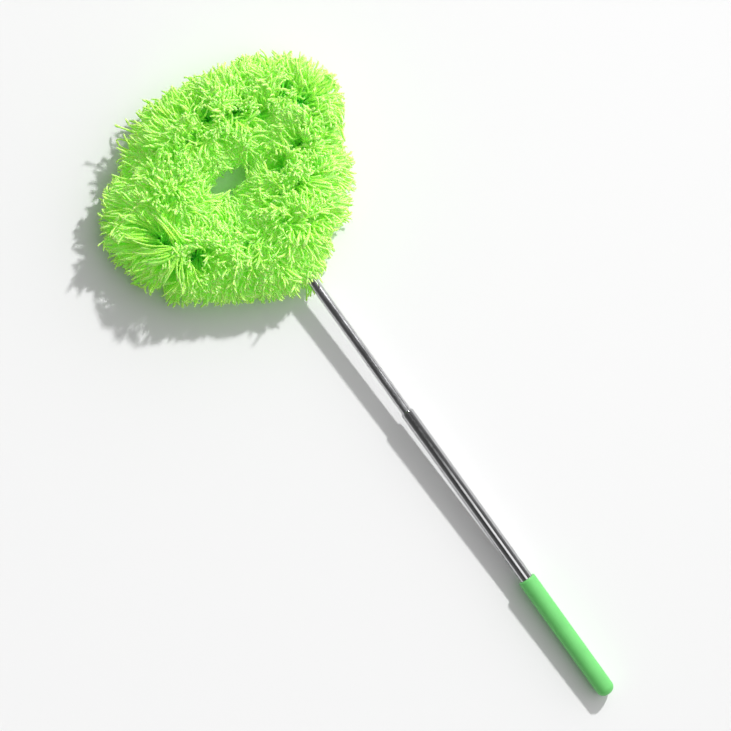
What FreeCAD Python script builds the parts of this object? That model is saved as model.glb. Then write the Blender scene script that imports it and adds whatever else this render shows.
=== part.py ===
import FreeCAD, Part

import math
import os

import Sketcher

# A telescopic microfibre ring duster lying on a table: +X runs from the grip to the head, +Z is up,
# and the origin is on the table under the middle of the duster.
# Places along the shaft are measured in millimetres from the closed end of the grip.

SIZES = {
    "overall_length": 687.0,
    "shaft_slope": 1.3,  # degrees, the shaft rises towards the head
    "tube_wall": 0.4,
    "press_gap": 0.02,
    "mouth_gap": 0.06,
    "mouth_length": 1.6,
    "mouth_round": 0.35,
    # grip
    "grip_radius": 8.5,
    "grip_length": 131.0,
    "grip_dome": 7.0,
    "grip_lip": 1.2,
    "grip_bore_end": 7.0,
    # outer tube and the plug that closes its base
    "outer_radius": 6.0,
    "outer_base": 9.0,
    "outer_mouth": 320.0,
    "plug_head": 1.5,
    "plug_stem": 10.0,
    # middle tube
    "middle_radius": 5.3,
    "middle_base": 35.0,
    "middle_mouth": 321.0,
    # inner tube
    "inner_radius": 4.6,
    "inner_base": 214.0,
    "inner_tip": 500.0,
    # base bush of a moving tube, and the split spring ring in its groove
    "bush_gap": 0.05,
    "bush_flange": 14.0,
    "bush_stem": 8.0,
    "groove_start": 5.5,
    "groove_width": 3.0,
    "groove_depth": 0.55,
    "ring_gap": 0.02,
    "ring_play": 0.05,
    "ring_sweep": 330.0,
    # socket that joins the wire loop to the inner tube, and its rivet
    "socket_stem": 20.0,
    "collar_radius": 6.0,
    "collar_length": 12.0,
    "rivet_place": 489.0,
    "rivet_radius": 1.0,
    "rivet_head": 1.7,
    "rivet_head_height": 0.6,
    # wire loop
    "wire_radius": 1.6,
    "wire_spread": 3.2,
    "wire_depth": 9.0,
    "wire_hole_gap": 0.05,
    "neck_corner": 517.0,
    "neck_bend": 7.0,
    "left_corner_along": 572.0,
    "left_corner_across": 111.0,
    "right_corner_along": 614.0,
    "right_corner_across": -104.0,
    "side_bend": 24.0,
    "far_corner_along": 649.5,
    "far_corner_across": 10.0,
    "far_bend": 60.0,
    # foam sleeve and fabric sleeve over the wire
    "sleeve_start": 14.0,
    "foam_radius": 8.6,
    "foam_bore": 1.65,
    "fabric_radius": 10.0,
    "fabric_wall": 1.3,
    "pile_gap": 0.05,
    # binding that gathers the fabric round the collar
    "binding_start": 502.0,
    "binding_length": 8.0,
    "binding_radius": 7.8,
    # yarn pile
    "pile_height": 58.0,
    "pile_half_width": 127.5,
    "near_along": 484.0,
    "near_across": -6.0,
    "near_round": 28.0,
    "left_along": 585.0,
    "left_round": 92.0,
    "right_along": 592.0,
    "right_round": 81.0,
    "far_across": 14.0,
    "far_round": 82.0,
    "pile_top_round": 24.0,
    "pile_foot_round": 9.0,
    "hole_along": 588.0,
    "hole_left_across": 23.0,
    "hole_right_across": -2.0,
    "hole_round": 8.0,
    "hole_top_round": 14.0,
    "neck_channel": 6.45,
    "neck_channel_start": 430.0,
    "neck_room": 8.4,
    "neck_room_end": 527.0,
}

os.makedirs("parts", exist_ok=True)
doc = FreeCAD.newDocument("duster")
sheet = doc.addObject("Spreadsheet::Sheet", "Sizes")
for row, (alias, number) in enumerate(SIZES.items(), start=1):
    sheet.set("A%d" % row, alias)
    sheet.set("B%d" % row, str(number))
    sheet.setAlias("B%d" % row, alias)
doc.recompute()

AXES = FreeCAD.Vector(1, 0, 0), FreeCAD.Vector(0, 1, 0), FreeCAD.Vector(0, 0, 1)
subparts = []


# ---------------------------------------------------------------- sizes and places


def amount(terms):
    """The number that a sum of sheet aliases, such as "outer_radius - tube_wall", comes to."""
    total, sign = 0.0, 1.0
    for word in terms.split():
        if word in "+-":
            sign = -1.0 if word == "-" else 1.0
        else:
            total += sign * sheet.get(word)
    return total


def bound(terms):
    """The same sum as an expression on the sheet."""
    return " ".join(word if word in "+-" else "Sizes." + word for word in terms.split())


def on_shaft(thing, along=""):
    """Binds a placement to the sloping shaft axis, at a distance from the end of the grip."""
    reach = bound(along) if along else "0"
    thing.Placement = FreeCAD.Placement(FreeCAD.Vector(), FreeCAD.Rotation(AXES[1], -1))
    thing.setExpression("Placement.Base.x", "-Sizes.overall_length / 2 + (%s) * cos(Sizes.shaft_slope)" % reach)
    # the shaft turns about the point where the grip's dome ends and its straight side meets the table
    thing.setExpression(
        "Placement.Base.z",
        "Sizes.grip_radius * cos(Sizes.shaft_slope) + (%s - Sizes.grip_dome) * sin(Sizes.shaft_slope)" % reach,
    )
    thing.setExpression("Placement.Rotation.Angle", "-Sizes.shaft_slope")


def on_table(thing):
    """Binds a placement to the table, with the same origin along X as the shaft."""
    thing.setExpression("Placement.Base.x", "-Sizes.overall_length / 2")


def keep(thing, label):
    """Names a finished sub-part and lists it for writing."""
    thing.Label = label
    subparts.append(thing)
    return thing


# ---------------------------------------------------------------- sketches


def new_body(name):
    return doc.addObject("PartDesign::Body", name + "_body")


def new_sketch(body, name, role, offset=""):
    """A sketch on one of its own body's origin planes, moved along the plane's normal by offset."""
    sketch = body.newObject("Sketcher::SketchObject", name)
    plane = [p for p in body.Origin.OriginFeatures if p.Role == role][0]
    sketch.AttachmentSupport = [(plane, "")]
    sketch.MapMode = "FlatFace"
    if offset:
        sketch.setExpression("AttachmentOffset.Base.z", bound(offset))
    return sketch


def hold(sketch, kind, geometry, point, terms):
    """Ties a point's distance from the sketch's origin to the sheet."""
    index = sketch.addConstraint(Sketcher.Constraint(kind, -1, 1, geometry, point, amount(terms)))
    sketch.setExpression("Constraints[%d]" % index, bound(terms))


def hold_radius(sketch, geometry, terms):
    index = sketch.addConstraint(Sketcher.Constraint("Radius", geometry, amount(terms)))
    sketch.setExpression("Constraints[%d]" % index, bound(terms))


def polygon(sketch, corners):
    """A closed outline of straight lines through corners, each an (x, y) pair of sums on the sheet."""
    spots = [FreeCAD.Vector(amount(x), amount(y), 0) for x, y in corners]
    for i, spot in enumerate(spots):
        sketch.addGeometry(Part.LineSegment(spot, spots[(i + 1) % len(spots)]), False)
    for i, (x, y) in enumerate(corners):
        sketch.addConstraint(Sketcher.Constraint("Coincident", i, 2, (i + 1) % len(corners), 1))
        hold(sketch, "DistanceX", i, 1, x)
        hold(sketch, "DistanceY", i, 1, y)


def circle(sketch, x, y, radius):
    """A circle whose centre and radius are sums on the sheet."""
    middle = FreeCAD.Vector(amount(x), amount(y), 0)
    index = sketch.addGeometry(Part.Circle(middle, AXES[2], amount(radius)), False)
    hold(sketch, "DistanceX", index, 3, x)
    hold(sketch, "DistanceY", index, 3, y)
    hold_radius(sketch, index, radius)


def belt(sketch, rounds):
    """A closed outline of arcs joined by their outer tangents, like a belt round pulleys taken anticlockwise."""
    middles = [FreeCAD.Vector(amount(x), amount(y), 0) for x, y, _ in rounds]
    radii = [amount(r) for _, _, r in rounds]
    count = len(rounds)
    normals = []
    for i in range(count):
        j = (i + 1) % count
        step = middles[j] - middles[i]
        lean = (radii[i] - radii[j]) / step.Length
        ahead = FreeCAD.Vector(step).normalize()
        aside = FreeCAD.Vector(ahead.y, -ahead.x, 0)
        normals.append(ahead * lean + aside * math.sqrt(1 - lean * lean))
    for i in range(count):
        start, end = normals[i - 1], normals[i]
        pulley = Part.Circle(middles[i], AXES[2], radii[i])
        first, last = math.atan2(start.y, start.x), math.atan2(end.y, end.x)
        sketch.addGeometry(Part.ArcOfCircle(pulley, first, last + (2 * math.pi if last < first else 0)), False)
        j = (i + 1) % count
        run = Part.LineSegment(middles[i] + end * radii[i], middles[j] + end * radii[j])
        sketch.addGeometry(run, False)
    for i, (x, y, radius) in enumerate(rounds):
        arc, line = 2 * i, 2 * i + 1
        sketch.addConstraint(Sketcher.Constraint("Tangent", arc, 2, line, 1))
        sketch.addConstraint(Sketcher.Constraint("Tangent", line, 2, (arc + 2) % (2 * count), 1))
        hold(sketch, "DistanceX", arc, 3, x)
        hold(sketch, "DistanceY", arc, 3, y)
        hold_radius(sketch, arc, radius)


# ---------------------------------------------------------------- features


def turn(body, name, corners, sweep=""):
    """A solid turned about the shaft axis from a profile of (along, radius) corners."""
    sketch = new_sketch(body, name + "_profile", "XZ_Plane")
    polygon(sketch, corners)
    revolution = body.newObject("PartDesign::Revolution", name + "_turned")
    revolution.Profile = sketch
    revolution.ReferenceAxis = (sketch, ["H_Axis"])
    revolution.Angle = 360
    if sweep:
        revolution.setExpression("Angle", bound(sweep))
    doc.recompute()
    return revolution


def round_edges(body, name, base, chosen, terms):
    """Rounds the edges of base for which chosen(edge) is true."""
    names = ["Edge%d" % (i + 1) for i, edge in enumerate(base.Shape.Edges) if chosen(edge)]
    fillet = body.newObject("PartDesign::Fillet", name)
    fillet.Base = (base, names)
    fillet.setExpression("Radius", bound(terms))
    doc.recompute()
    return fillet


def ring_edge(along, radius):
    """A test for the full circular edge at a place on the shaft."""

    def test(edge):
        curve = edge.Curve
        if not isinstance(curve, Part.Circle):
            return False
        return abs(curve.Center.x - amount(along)) < 1e-4 and abs(curve.Radius - amount(radius)) < 1e-4

    return test


def cut(body, name, sketch, length="", through=False):
    """A pocket from sketch, to a depth or right through both ways, which must remove something."""
    before = body.Shape.Volume
    pocket = body.newObject("PartDesign::Pocket", name)
    pocket.Profile = sketch
    if through:
        pocket.Type = "ThroughAll"
        pocket.Midplane = True
    else:
        pocket.Type = "Length"
        pocket.setExpression("Length", bound(length))
    doc.recompute()
    if not body.Shape.Volume < before - 1e-3:
        raise RuntimeError(name + " removed nothing")
    return pocket


def cross_hole(body, name):
    """The rivet's hole, straight through a tube or stem."""
    sketch = new_sketch(body, name + "_circle", "XY_Plane")
    circle(sketch, "rivet_place", "rivet_place - rivet_place", "rivet_radius")
    return cut(body, name, sketch, through=True)


# ---------------------------------------------------------------- handle


def grip_sleeve():
    body = new_body("grip")
    zero = "grip_radius - grip_radius"
    bore = "outer_radius + press_gap"
    solid = turn(
        body,
        "grip",
        [
            (zero, zero),
            (zero, "grip_radius"),
            ("grip_length", "grip_radius"),
            ("grip_length", bore),
            ("grip_bore_end", bore),
            ("grip_bore_end", zero),
        ],
    )
    solid = round_edges(body, "grip_dome", solid, ring_edge(zero, "grip_radius"), "grip_dome")
    round_edges(body, "grip_lip", solid, ring_edge("grip_length", "grip_radius"), "grip_lip")
    on_shaft(body)
    keep(body, "grip_sleeve")


def tube(label, base, end, radius, inside="", riveted=False):
    """A drawn tube, its mouth rolled in to a running gap round the tube inside it."""
    body = new_body(label)
    bore = radius + " - tube_wall"
    corners = [(base, bore), (base, radius), (end, radius)]
    if inside:
        lip = inside + " + mouth_gap"
        corners += [(end, lip), (end + " - mouth_length", lip), (end + " - mouth_length", bore)]
    else:
        corners += [(end, bore)]
    solid = turn(body, label, corners)
    if inside:
        round_edges(body, label + "_mouth", solid, ring_edge(end, radius), "mouth_round")
    if riveted:
        cross_hole(body, label + "_rivet_hole")
    on_shaft(body)
    keep(body, label)


def outer_plug():
    """The plug pressed into the outer tube's base, inside the grip."""
    body = new_body("outer_plug")
    zero = "outer_base - outer_base"
    stem = "outer_radius - tube_wall - press_gap"
    head = "outer_base - plug_head"
    end = "outer_base + plug_stem"
    shoulder = [(head, "outer_radius"), ("outer_base", "outer_radius"), ("outer_base", stem)]
    turn(body, "outer_plug", [(head, zero)] + shoulder + [(end, stem), (end, zero)])
    on_shaft(body)
    keep(body, "outer_plug")


# ---------------------------------------------------------------- moving tubes


def base_bush(label, base, radius, around):
    """A turned bush: a stem pressed into the tube, and a grooved flange that runs in the tube around it."""
    body = new_body(label)
    zero = base + " - " + base
    flange = around + " - tube_wall - bush_gap"
    groove = flange + " - groove_depth"
    stem = radius + " - tube_wall - press_gap"
    low = base + " - bush_flange"
    groove_low = low + " + groove_start"
    groove_high = groove_low + " + groove_width"
    end = base + " + bush_stem"
    turn(
        body,
        label,
        [
            (low, zero),
            (low, flange),
            (groove_low, flange),
            (groove_low, groove),
            (groove_high, groove),
            (groove_high, flange),
            (base, flange),
            (base, stem),
            (end, stem),
            (end, zero),
        ],
    )
    on_shaft(body)
    keep(body, label)


def friction_ring(label, base, around):
    """The split spring ring in a bush's groove: it grips the tube around it, and the bush turns inside it."""
    body = new_body(label)
    out = around + " - tube_wall - ring_gap"
    into = around + " - tube_wall - bush_gap - groove_depth + ring_play"
    low = base + " - bush_flange + groove_start + ring_play"
    high = low + " + groove_width - ring_play - ring_play"
    turn(body, label, [(low, into), (low, out), (high, out), (high, into)], sweep="ring_sweep")
    on_shaft(body)
    keep(body, label)


# ---------------------------------------------------------------- head frame


def head_socket():
    """The moulded socket: a stem in the inner tube, and a collar with a hole for each end of the wire."""
    body = new_body("head_socket")
    zero = "inner_tip - inner_tip"
    stem = "inner_radius - tube_wall - press_gap"
    foot = "inner_tip - socket_stem"
    end = "inner_tip + collar_length"
    collar = [("inner_tip", stem), ("inner_tip", "collar_radius"), (end, "collar_radius"), (end, zero)]
    solid = turn(body, "socket", [(foot, zero), (foot, stem)] + collar)
    round_edges(body, "socket_edge", solid, ring_edge(end, "collar_radius"), "grip_lip")
    sketch = new_sketch(body, "socket_wire_holes", "YZ_Plane", offset=end)
    for side in ("wire_spread", "wire_hole_gap - wire_hole_gap - wire_spread"):
        circle(sketch, side, zero, "wire_radius + wire_hole_gap")
    cut(body, "socket_wires", sketch, length="wire_depth")
    cross_hole(body, "socket_rivet_hole")
    on_shaft(body)
    keep(body, "head_socket")


def socket_rivet():
    """The rivet through the inner tube and the socket's stem, turned about its own upright axis."""
    body = new_body("socket_rivet")
    zero = "rivet_radius - rivet_radius"
    shank = "rivet_radius - press_gap"
    seat = "inner_radius + press_gap"
    top = seat + " + rivet_head_height"
    below = zero + " - inner_radius - press_gap"
    bottom = below + " - rivet_head_height"
    sketch = new_sketch(body, "rivet_profile", "XZ_Plane")
    upper = [(shank, seat), ("rivet_head", seat), ("rivet_head", top), (zero, top)]
    lower = [(zero, bottom), ("rivet_head", bottom), ("rivet_head", below), (shank, below)]
    polygon(sketch, lower + upper)
    revolution = body.newObject("PartDesign::Revolution", "rivet_turned")
    revolution.Profile = sketch
    revolution.ReferenceAxis = (sketch, ["V_Axis"])
    revolution.Angle = 360
    doc.recompute()
    on_shaft(body, "rivet_place")
    keep(body, "socket_rivet")


def fillet_path(corners, bends):
    """A wire through corners with an arc of the given radius at each one between the ends."""
    edges, here = [], corners[0]
    for before, corner, after, bend in zip(corners, corners[1:], corners[2:], bends):
        back = (before - corner).normalize()
        onward = (after - corner).normalize()
        half = back.getAngle(onward) / 2
        reach = bend / math.tan(half)
        middle = corner + (back + onward).normalize() * (bend / math.sin(half))
        first, last = corner + back * reach, corner + onward * reach
        crown = middle + (corner - middle).normalize() * bend
        edges.append(Part.LineSegment(here, first).toShape())
        edges.append(Part.Arc(first, crown, last).toShape())
        here = last
    edges.append(Part.LineSegment(here, corners[-1]).toShape())
    return Part.Wire(edges)


def loop_corners():
    """The corners of the wire's rounded outline, from the left neck corner round to the right one."""
    spread = amount("wire_spread")
    neck = amount("neck_corner")
    sides = ("left_corner", "far_corner", "right_corner")
    middle = [FreeCAD.Vector(amount(side + "_along"), amount(side + "_across"), 0) for side in sides]
    return [FreeCAD.Vector(neck, spread, 0)] + middle + [FreeCAD.Vector(neck, -spread, 0)]


def wire_path():
    """The wire's centre line, from the bottom of one socket hole round the loop to the other."""
    corners = loop_corners()
    start = amount("inner_tip + collar_length - wire_depth")
    ends = [FreeCAD.Vector(start, corners[0].y, 0), FreeCAD.Vector(start, corners[-1].y, 0)]
    side, far, neck = amount("side_bend"), amount("far_bend"), amount("neck_bend")
    return fillet_path([ends[0]] + corners + [ends[1]], [neck, side, far, side, neck])


def sleeve_path():
    """The part of the wire's centre line that the foam and the fabric cover."""
    corners = loop_corners()
    start = amount("sleeve_start")
    corners[0] = corners[0] + (corners[1] - corners[0]).normalize() * start
    corners[-1] = corners[-1] + (corners[-2] - corners[-1]).normalize() * start
    side, far = amount("side_bend"), amount("far_bend")
    return fillet_path(corners, [side, far, side])


def new_path(name, wire):
    """A construction object that holds a centre line."""
    path = doc.addObject("Part::Feature", name)
    path.Shape = wire
    return path


def swept(name, path, terms):
    """A round bar of the given radius along a path."""
    first = path.Shape.Edges[0]
    start = path.Shape.OrderedVertexes[0].Point
    heading = first.tangentAt(first.FirstParameter)
    section = doc.addObject("Part::Circle", name + "_section")
    section.setExpression("Radius", bound(terms))
    section.Placement = FreeCAD.Placement(start, FreeCAD.Rotation(AXES[2], heading))
    bar = doc.addObject("Part::Sweep", name)
    bar.Sections = [section]
    bar.Spine = (path, ["Edge%d" % (i + 1) for i in range(len(path.Shape.Edges))])
    bar.Solid = True
    bar.Frenet = False
    doc.recompute()
    return bar


def subtract(name, base, tool):
    result = doc.addObject("Part::Cut", name)
    result.Base = base
    result.Tool = tool
    doc.recompute()
    return result


def loop_wire(line):
    wire = swept("loop_wire_bar", line, "wire_radius")
    on_shaft(wire)
    keep(wire, "loop_wire")


def loop_sleeves(line):
    """The foam tube on the wire, and the fabric tube over the foam."""
    foam = subtract("foam", swept("foam_outside", line, "foam_radius"), swept("foam_inside", line, "foam_bore"))
    on_shaft(foam)
    keep(foam, "foam_sleeve")
    outside = swept("fabric_outside", line, "fabric_radius")
    inside = swept("fabric_inside", line, "fabric_radius - fabric_wall")
    fabric = subtract("fabric", outside, inside)
    on_shaft(fabric)
    keep(fabric, "backing_sleeve")


def neck_binding():
    """The gathered band that holds the fabric's ends round the collar."""
    body = new_body("neck_binding")
    bore = "collar_radius + press_gap"
    end = "binding_start + binding_length"
    corners = [("binding_start", bore), ("binding_start", "binding_radius"), (end, "binding_radius"), (end, bore)]
    turn(body, "binding", corners)
    on_shaft(body)
    keep(body, "neck_binding")


# ---------------------------------------------------------------- pile


def along_shaft(name, start, end, radius):
    """A round bar on the shaft axis, used to cut room for the neck."""
    bar = doc.addObject("Part::Cylinder", name)
    bar.setExpression("Radius", bound(radius))
    bar.setExpression("Height", bound(end + " - " + start))
    bar.Placement = FreeCAD.Placement(FreeCAD.Vector(), FreeCAD.Rotation(AXES[2], AXES[0]))
    bar.setExpression("Placement.Base.x", bound(start))
    return bar


def level_edge(height, hole):
    """A test for the outline edges at a height: those of the hole, or those of the outside."""
    middle = FreeCAD.Vector(amount("hole_along"), amount("hole_left_across + hole_right_across") / 2, height)
    limit = amount("hole_round + hole_left_across - hole_right_across")

    def test(edge):
        box = edge.BoundBox
        flat = abs(box.ZMin - height) < 1e-4 and abs(box.ZMax - height) < 1e-4
        near = (edge.CenterOfMass - middle).Length < limit
        return flat and near == hole

    return test


def pile_ring():
    """The outer shape of the yarn pile, flat where it lies on the table."""
    body = new_body("pile")
    outline = new_sketch(body, "pile_outline", "XY_Plane")
    belt(
        outline,
        [
            ("near_along", "near_across", "near_round"),
            ("right_along", "right_round - pile_half_width", "right_round"),
            ("overall_length - far_round", "far_across", "far_round"),
            ("left_along", "pile_half_width - left_round", "left_round"),
        ],
    )
    pad = body.newObject("PartDesign::Pad", "pile_pad")
    pad.Profile = outline
    pad.setExpression("Length", bound("pile_height"))
    doc.recompute()
    hole = new_sketch(body, "pile_hole", "XY_Plane")
    belt(hole, [("hole_along", "hole_right_across", "hole_round"), ("hole_along", "hole_left_across", "hole_round")])
    solid = cut(body, "pile_hole_cut", hole, through=True)
    top = amount("pile_height")
    solid = round_edges(body, "pile_shoulder", solid, level_edge(top, False), "pile_top_round")
    solid = round_edges(body, "pile_foot", solid, level_edge(0.0, False), "pile_foot_round")
    round_edges(body, "pile_hole_rim", solid, level_edge(top, True), "hole_top_round")
    on_table(body)
    return body


def yarn_pile(wire_line, sleeve_line):
    """The pile ring, with room inside for the covered loop, the neck and the outer tube's mouth."""
    room = doc.addObject("Part::MultiFuse", "pile_room")
    room.Shapes = [
        swept("pile_tunnel", sleeve_line, "fabric_radius + pile_gap"),
        swept("wire_tunnel", wire_line, "wire_radius + pile_gap"),
        along_shaft("mouth_channel", "neck_channel_start", "inner_tip", "neck_channel"),
        along_shaft("neck_room_bar", "inner_tip", "neck_room_end", "neck_room"),
    ]
    doc.recompute()
    on_shaft(room)
    keep(subtract("pile", pile_ring(), room), "yarn_pile")


# ---------------------------------------------------------------- the duster

grip_sleeve()
tube("outer_tube", "outer_base", "outer_mouth", "outer_radius", inside="middle_radius")
outer_plug()

tube("middle_tube", "middle_base", "middle_mouth", "middle_radius", inside="inner_radius")
base_bush("middle_bush", "middle_base", "middle_radius", "outer_radius")
friction_ring("middle_friction_ring", "middle_base", "outer_radius")

tube("inner_tube", "inner_base", "inner_tip", "inner_radius", riveted=True)
base_bush("inner_bush", "inner_base", "inner_radius", "middle_radius")
friction_ring("inner_friction_ring", "inner_base", "middle_radius")

head_socket()
socket_rivet()
wire_line = new_path("wire_line", wire_path())
sleeve_line = new_path("sleeve_line", sleeve_path())
loop_wire(wire_line)
loop_sleeves(sleeve_line)
neck_binding()
yarn_pile(wire_line, sleeve_line)
doc.recompute()


def check_document():
    """Stops if any object failed or any sub-part has no good shape."""
    for thing in doc.Objects:
        if "Invalid" in thing.State or "Error" in thing.State:
            raise RuntimeError("%s is %s" % (thing.Label, thing.State))
    for thing in subparts:
        if thing.Shape.isNull() or not thing.Shape.isValid() or not thing.Shape.Solids:
            raise RuntimeError(thing.Label + " has no valid shape")


def write_parts():
    """Writes each sub-part to its own STEP file."""
    for thing in subparts:
        thing.Shape.exportStep("parts/%s.step" % thing.Label)
        box = thing.Shape.BoundBox
        size = (box.XMin, box.XMax, box.YMin, box.YMax, box.ZMin, box.ZMax, thing.Shape.Volume)
        print("%-22s x %8.2f %8.2f  y %8.2f %8.2f  z %7.2f %7.2f  volume %9.0f" % ((thing.Label,) + size))


check_document()
write_parts()
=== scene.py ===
"""Telescopic ring duster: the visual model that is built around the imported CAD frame.

The steel tubes, the grip and the small fittings keep their CAD shapes and get finishes. The soft parts of
the head, which are the yarn pile, the cloth and foam sleeves and the neck binding, are built here in full.

Lengths inside the classes are in millimetres, unless a class says otherwise. "along" is measured from the
grip's closed end towards the head, "across" is the object's Y, and heights are above the table.
"""

from __future__ import annotations

import logging
import math
from dataclasses import dataclass
from enum import Enum

import bpy
import numpy as np
from mathutils import Matrix, Vector

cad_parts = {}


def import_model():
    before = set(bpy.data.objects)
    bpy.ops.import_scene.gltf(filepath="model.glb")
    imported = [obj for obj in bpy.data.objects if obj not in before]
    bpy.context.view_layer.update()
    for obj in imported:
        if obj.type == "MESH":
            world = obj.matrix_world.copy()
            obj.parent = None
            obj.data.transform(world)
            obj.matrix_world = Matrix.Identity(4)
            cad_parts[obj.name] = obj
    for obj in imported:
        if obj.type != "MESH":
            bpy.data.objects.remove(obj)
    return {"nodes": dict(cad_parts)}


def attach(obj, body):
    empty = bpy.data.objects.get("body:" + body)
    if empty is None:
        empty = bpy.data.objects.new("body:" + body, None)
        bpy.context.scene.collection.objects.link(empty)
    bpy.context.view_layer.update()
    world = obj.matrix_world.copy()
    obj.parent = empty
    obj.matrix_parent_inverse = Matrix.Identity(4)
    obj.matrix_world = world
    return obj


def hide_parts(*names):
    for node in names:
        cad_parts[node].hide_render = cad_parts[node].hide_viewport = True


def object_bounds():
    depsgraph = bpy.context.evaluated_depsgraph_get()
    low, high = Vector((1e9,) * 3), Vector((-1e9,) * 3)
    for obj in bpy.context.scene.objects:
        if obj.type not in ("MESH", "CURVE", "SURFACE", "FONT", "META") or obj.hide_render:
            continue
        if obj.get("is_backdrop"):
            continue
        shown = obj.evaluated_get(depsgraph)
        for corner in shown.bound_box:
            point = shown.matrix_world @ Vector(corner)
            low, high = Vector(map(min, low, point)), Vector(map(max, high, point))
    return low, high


LOG = logging.getLogger("duster")
MM = 0.001
UP = np.array((0.0, 0.0, 1.0))
GOLDEN_SHARE = 0.6180339887  # the share of a turn from one yarn's foot to the next
HEAD = "head_section"

Socket = bpy.types.NodeSocket
Colour = tuple[float, float, float]
Scale = tuple[float, float, float]
EVEN: Scale = (1.0, 1.0, 1.0)


# ---------------------------------------------------------------- node building


class Nodes:
    """A node tree that is being put together."""

    def __init__(self, tree: bpy.types.NodeTree) -> None:
        """Take the tree that the nodes go into."""
        self.tree = tree

    def add(self, kind: str, **settings: object) -> bpy.types.Node:
        """Add a node.

        Args:
            kind: The node's type, without the ShaderNode prefix.
            **settings: Properties to set on the node.

        Returns:
            The new node.
        """
        node = self.tree.nodes.new("ShaderNode" + kind)
        for name, value in settings.items():
            setattr(node, name, value)
        return node

    def join(self, source: Socket, target: Socket) -> None:
        """Link one socket to another."""
        self.tree.links.new(source, target)

    def feed(self, value: object, target: Socket) -> None:
        """Link a socket, or set a plain value.

        Args:
            value: A socket, a number or an RGB triple.
            target: The input that takes it.
        """
        if isinstance(value, Socket):
            self.join(value, target)
        elif isinstance(value, tuple):
            target.default_value = (*value, 1.0)
        else:
            target.default_value = value

    def split(self, vector: Socket) -> bpy.types.NodeOutputs:
        """Take a vector apart.

        Args:
            vector: The vector's socket.

        Returns:
            The sockets X, Y and Z, by name.
        """
        node = self.add("SeparateXYZ")
        self.join(vector, node.inputs["Vector"])
        return node.outputs

    def ramp(self, value: Socket, *stops: tuple[float, Colour]) -> Socket:
        """Colours along a value.

        Args:
            value: The socket that picks the colour.
            *stops: Position and colour pairs, from low to high.

        Returns:
            The colour socket.
        """
        node = self.add("ValToRGB")
        band = node.color_ramp.elements
        while len(band) < len(stops):
            band.new(0.5)
        for element, (position, colour) in zip(band, stops):
            element.position = position
            element.color = (*colour, 1.0)
        self.join(value, node.inputs["Fac"])
        return node.outputs["Color"]

    def span(self, value: Socket, low: float, high: float, start: float = 0.0, end: float = 1.0) -> Socket:
        """Map a value from start..end to low..high.

        Args:
            value: The socket to map.
            low: The result at start.
            high: The result at end.
            start: The lower end of the input.
            end: The upper end of the input.

        Returns:
            The mapped socket.
        """
        node = self.add("MapRange")
        for name, number in (("From Min", start), ("From Max", end), ("To Min", low), ("To Max", high)):
            node.inputs[name].default_value = number
        self.join(value, node.inputs["Value"])
        return node.outputs["Result"]

    def reckon(self, kind: str, *values: object) -> Socket:
        """Arithmetic on up to three values.

        Args:
            kind: The Math node's operation.
            *values: Sockets or numbers.

        Returns:
            The result socket.
        """
        node = self.add("Math", operation=kind)
        for value, target in zip(values, node.inputs):
            self.feed(value, target)
        return node.outputs["Value"]


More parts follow.
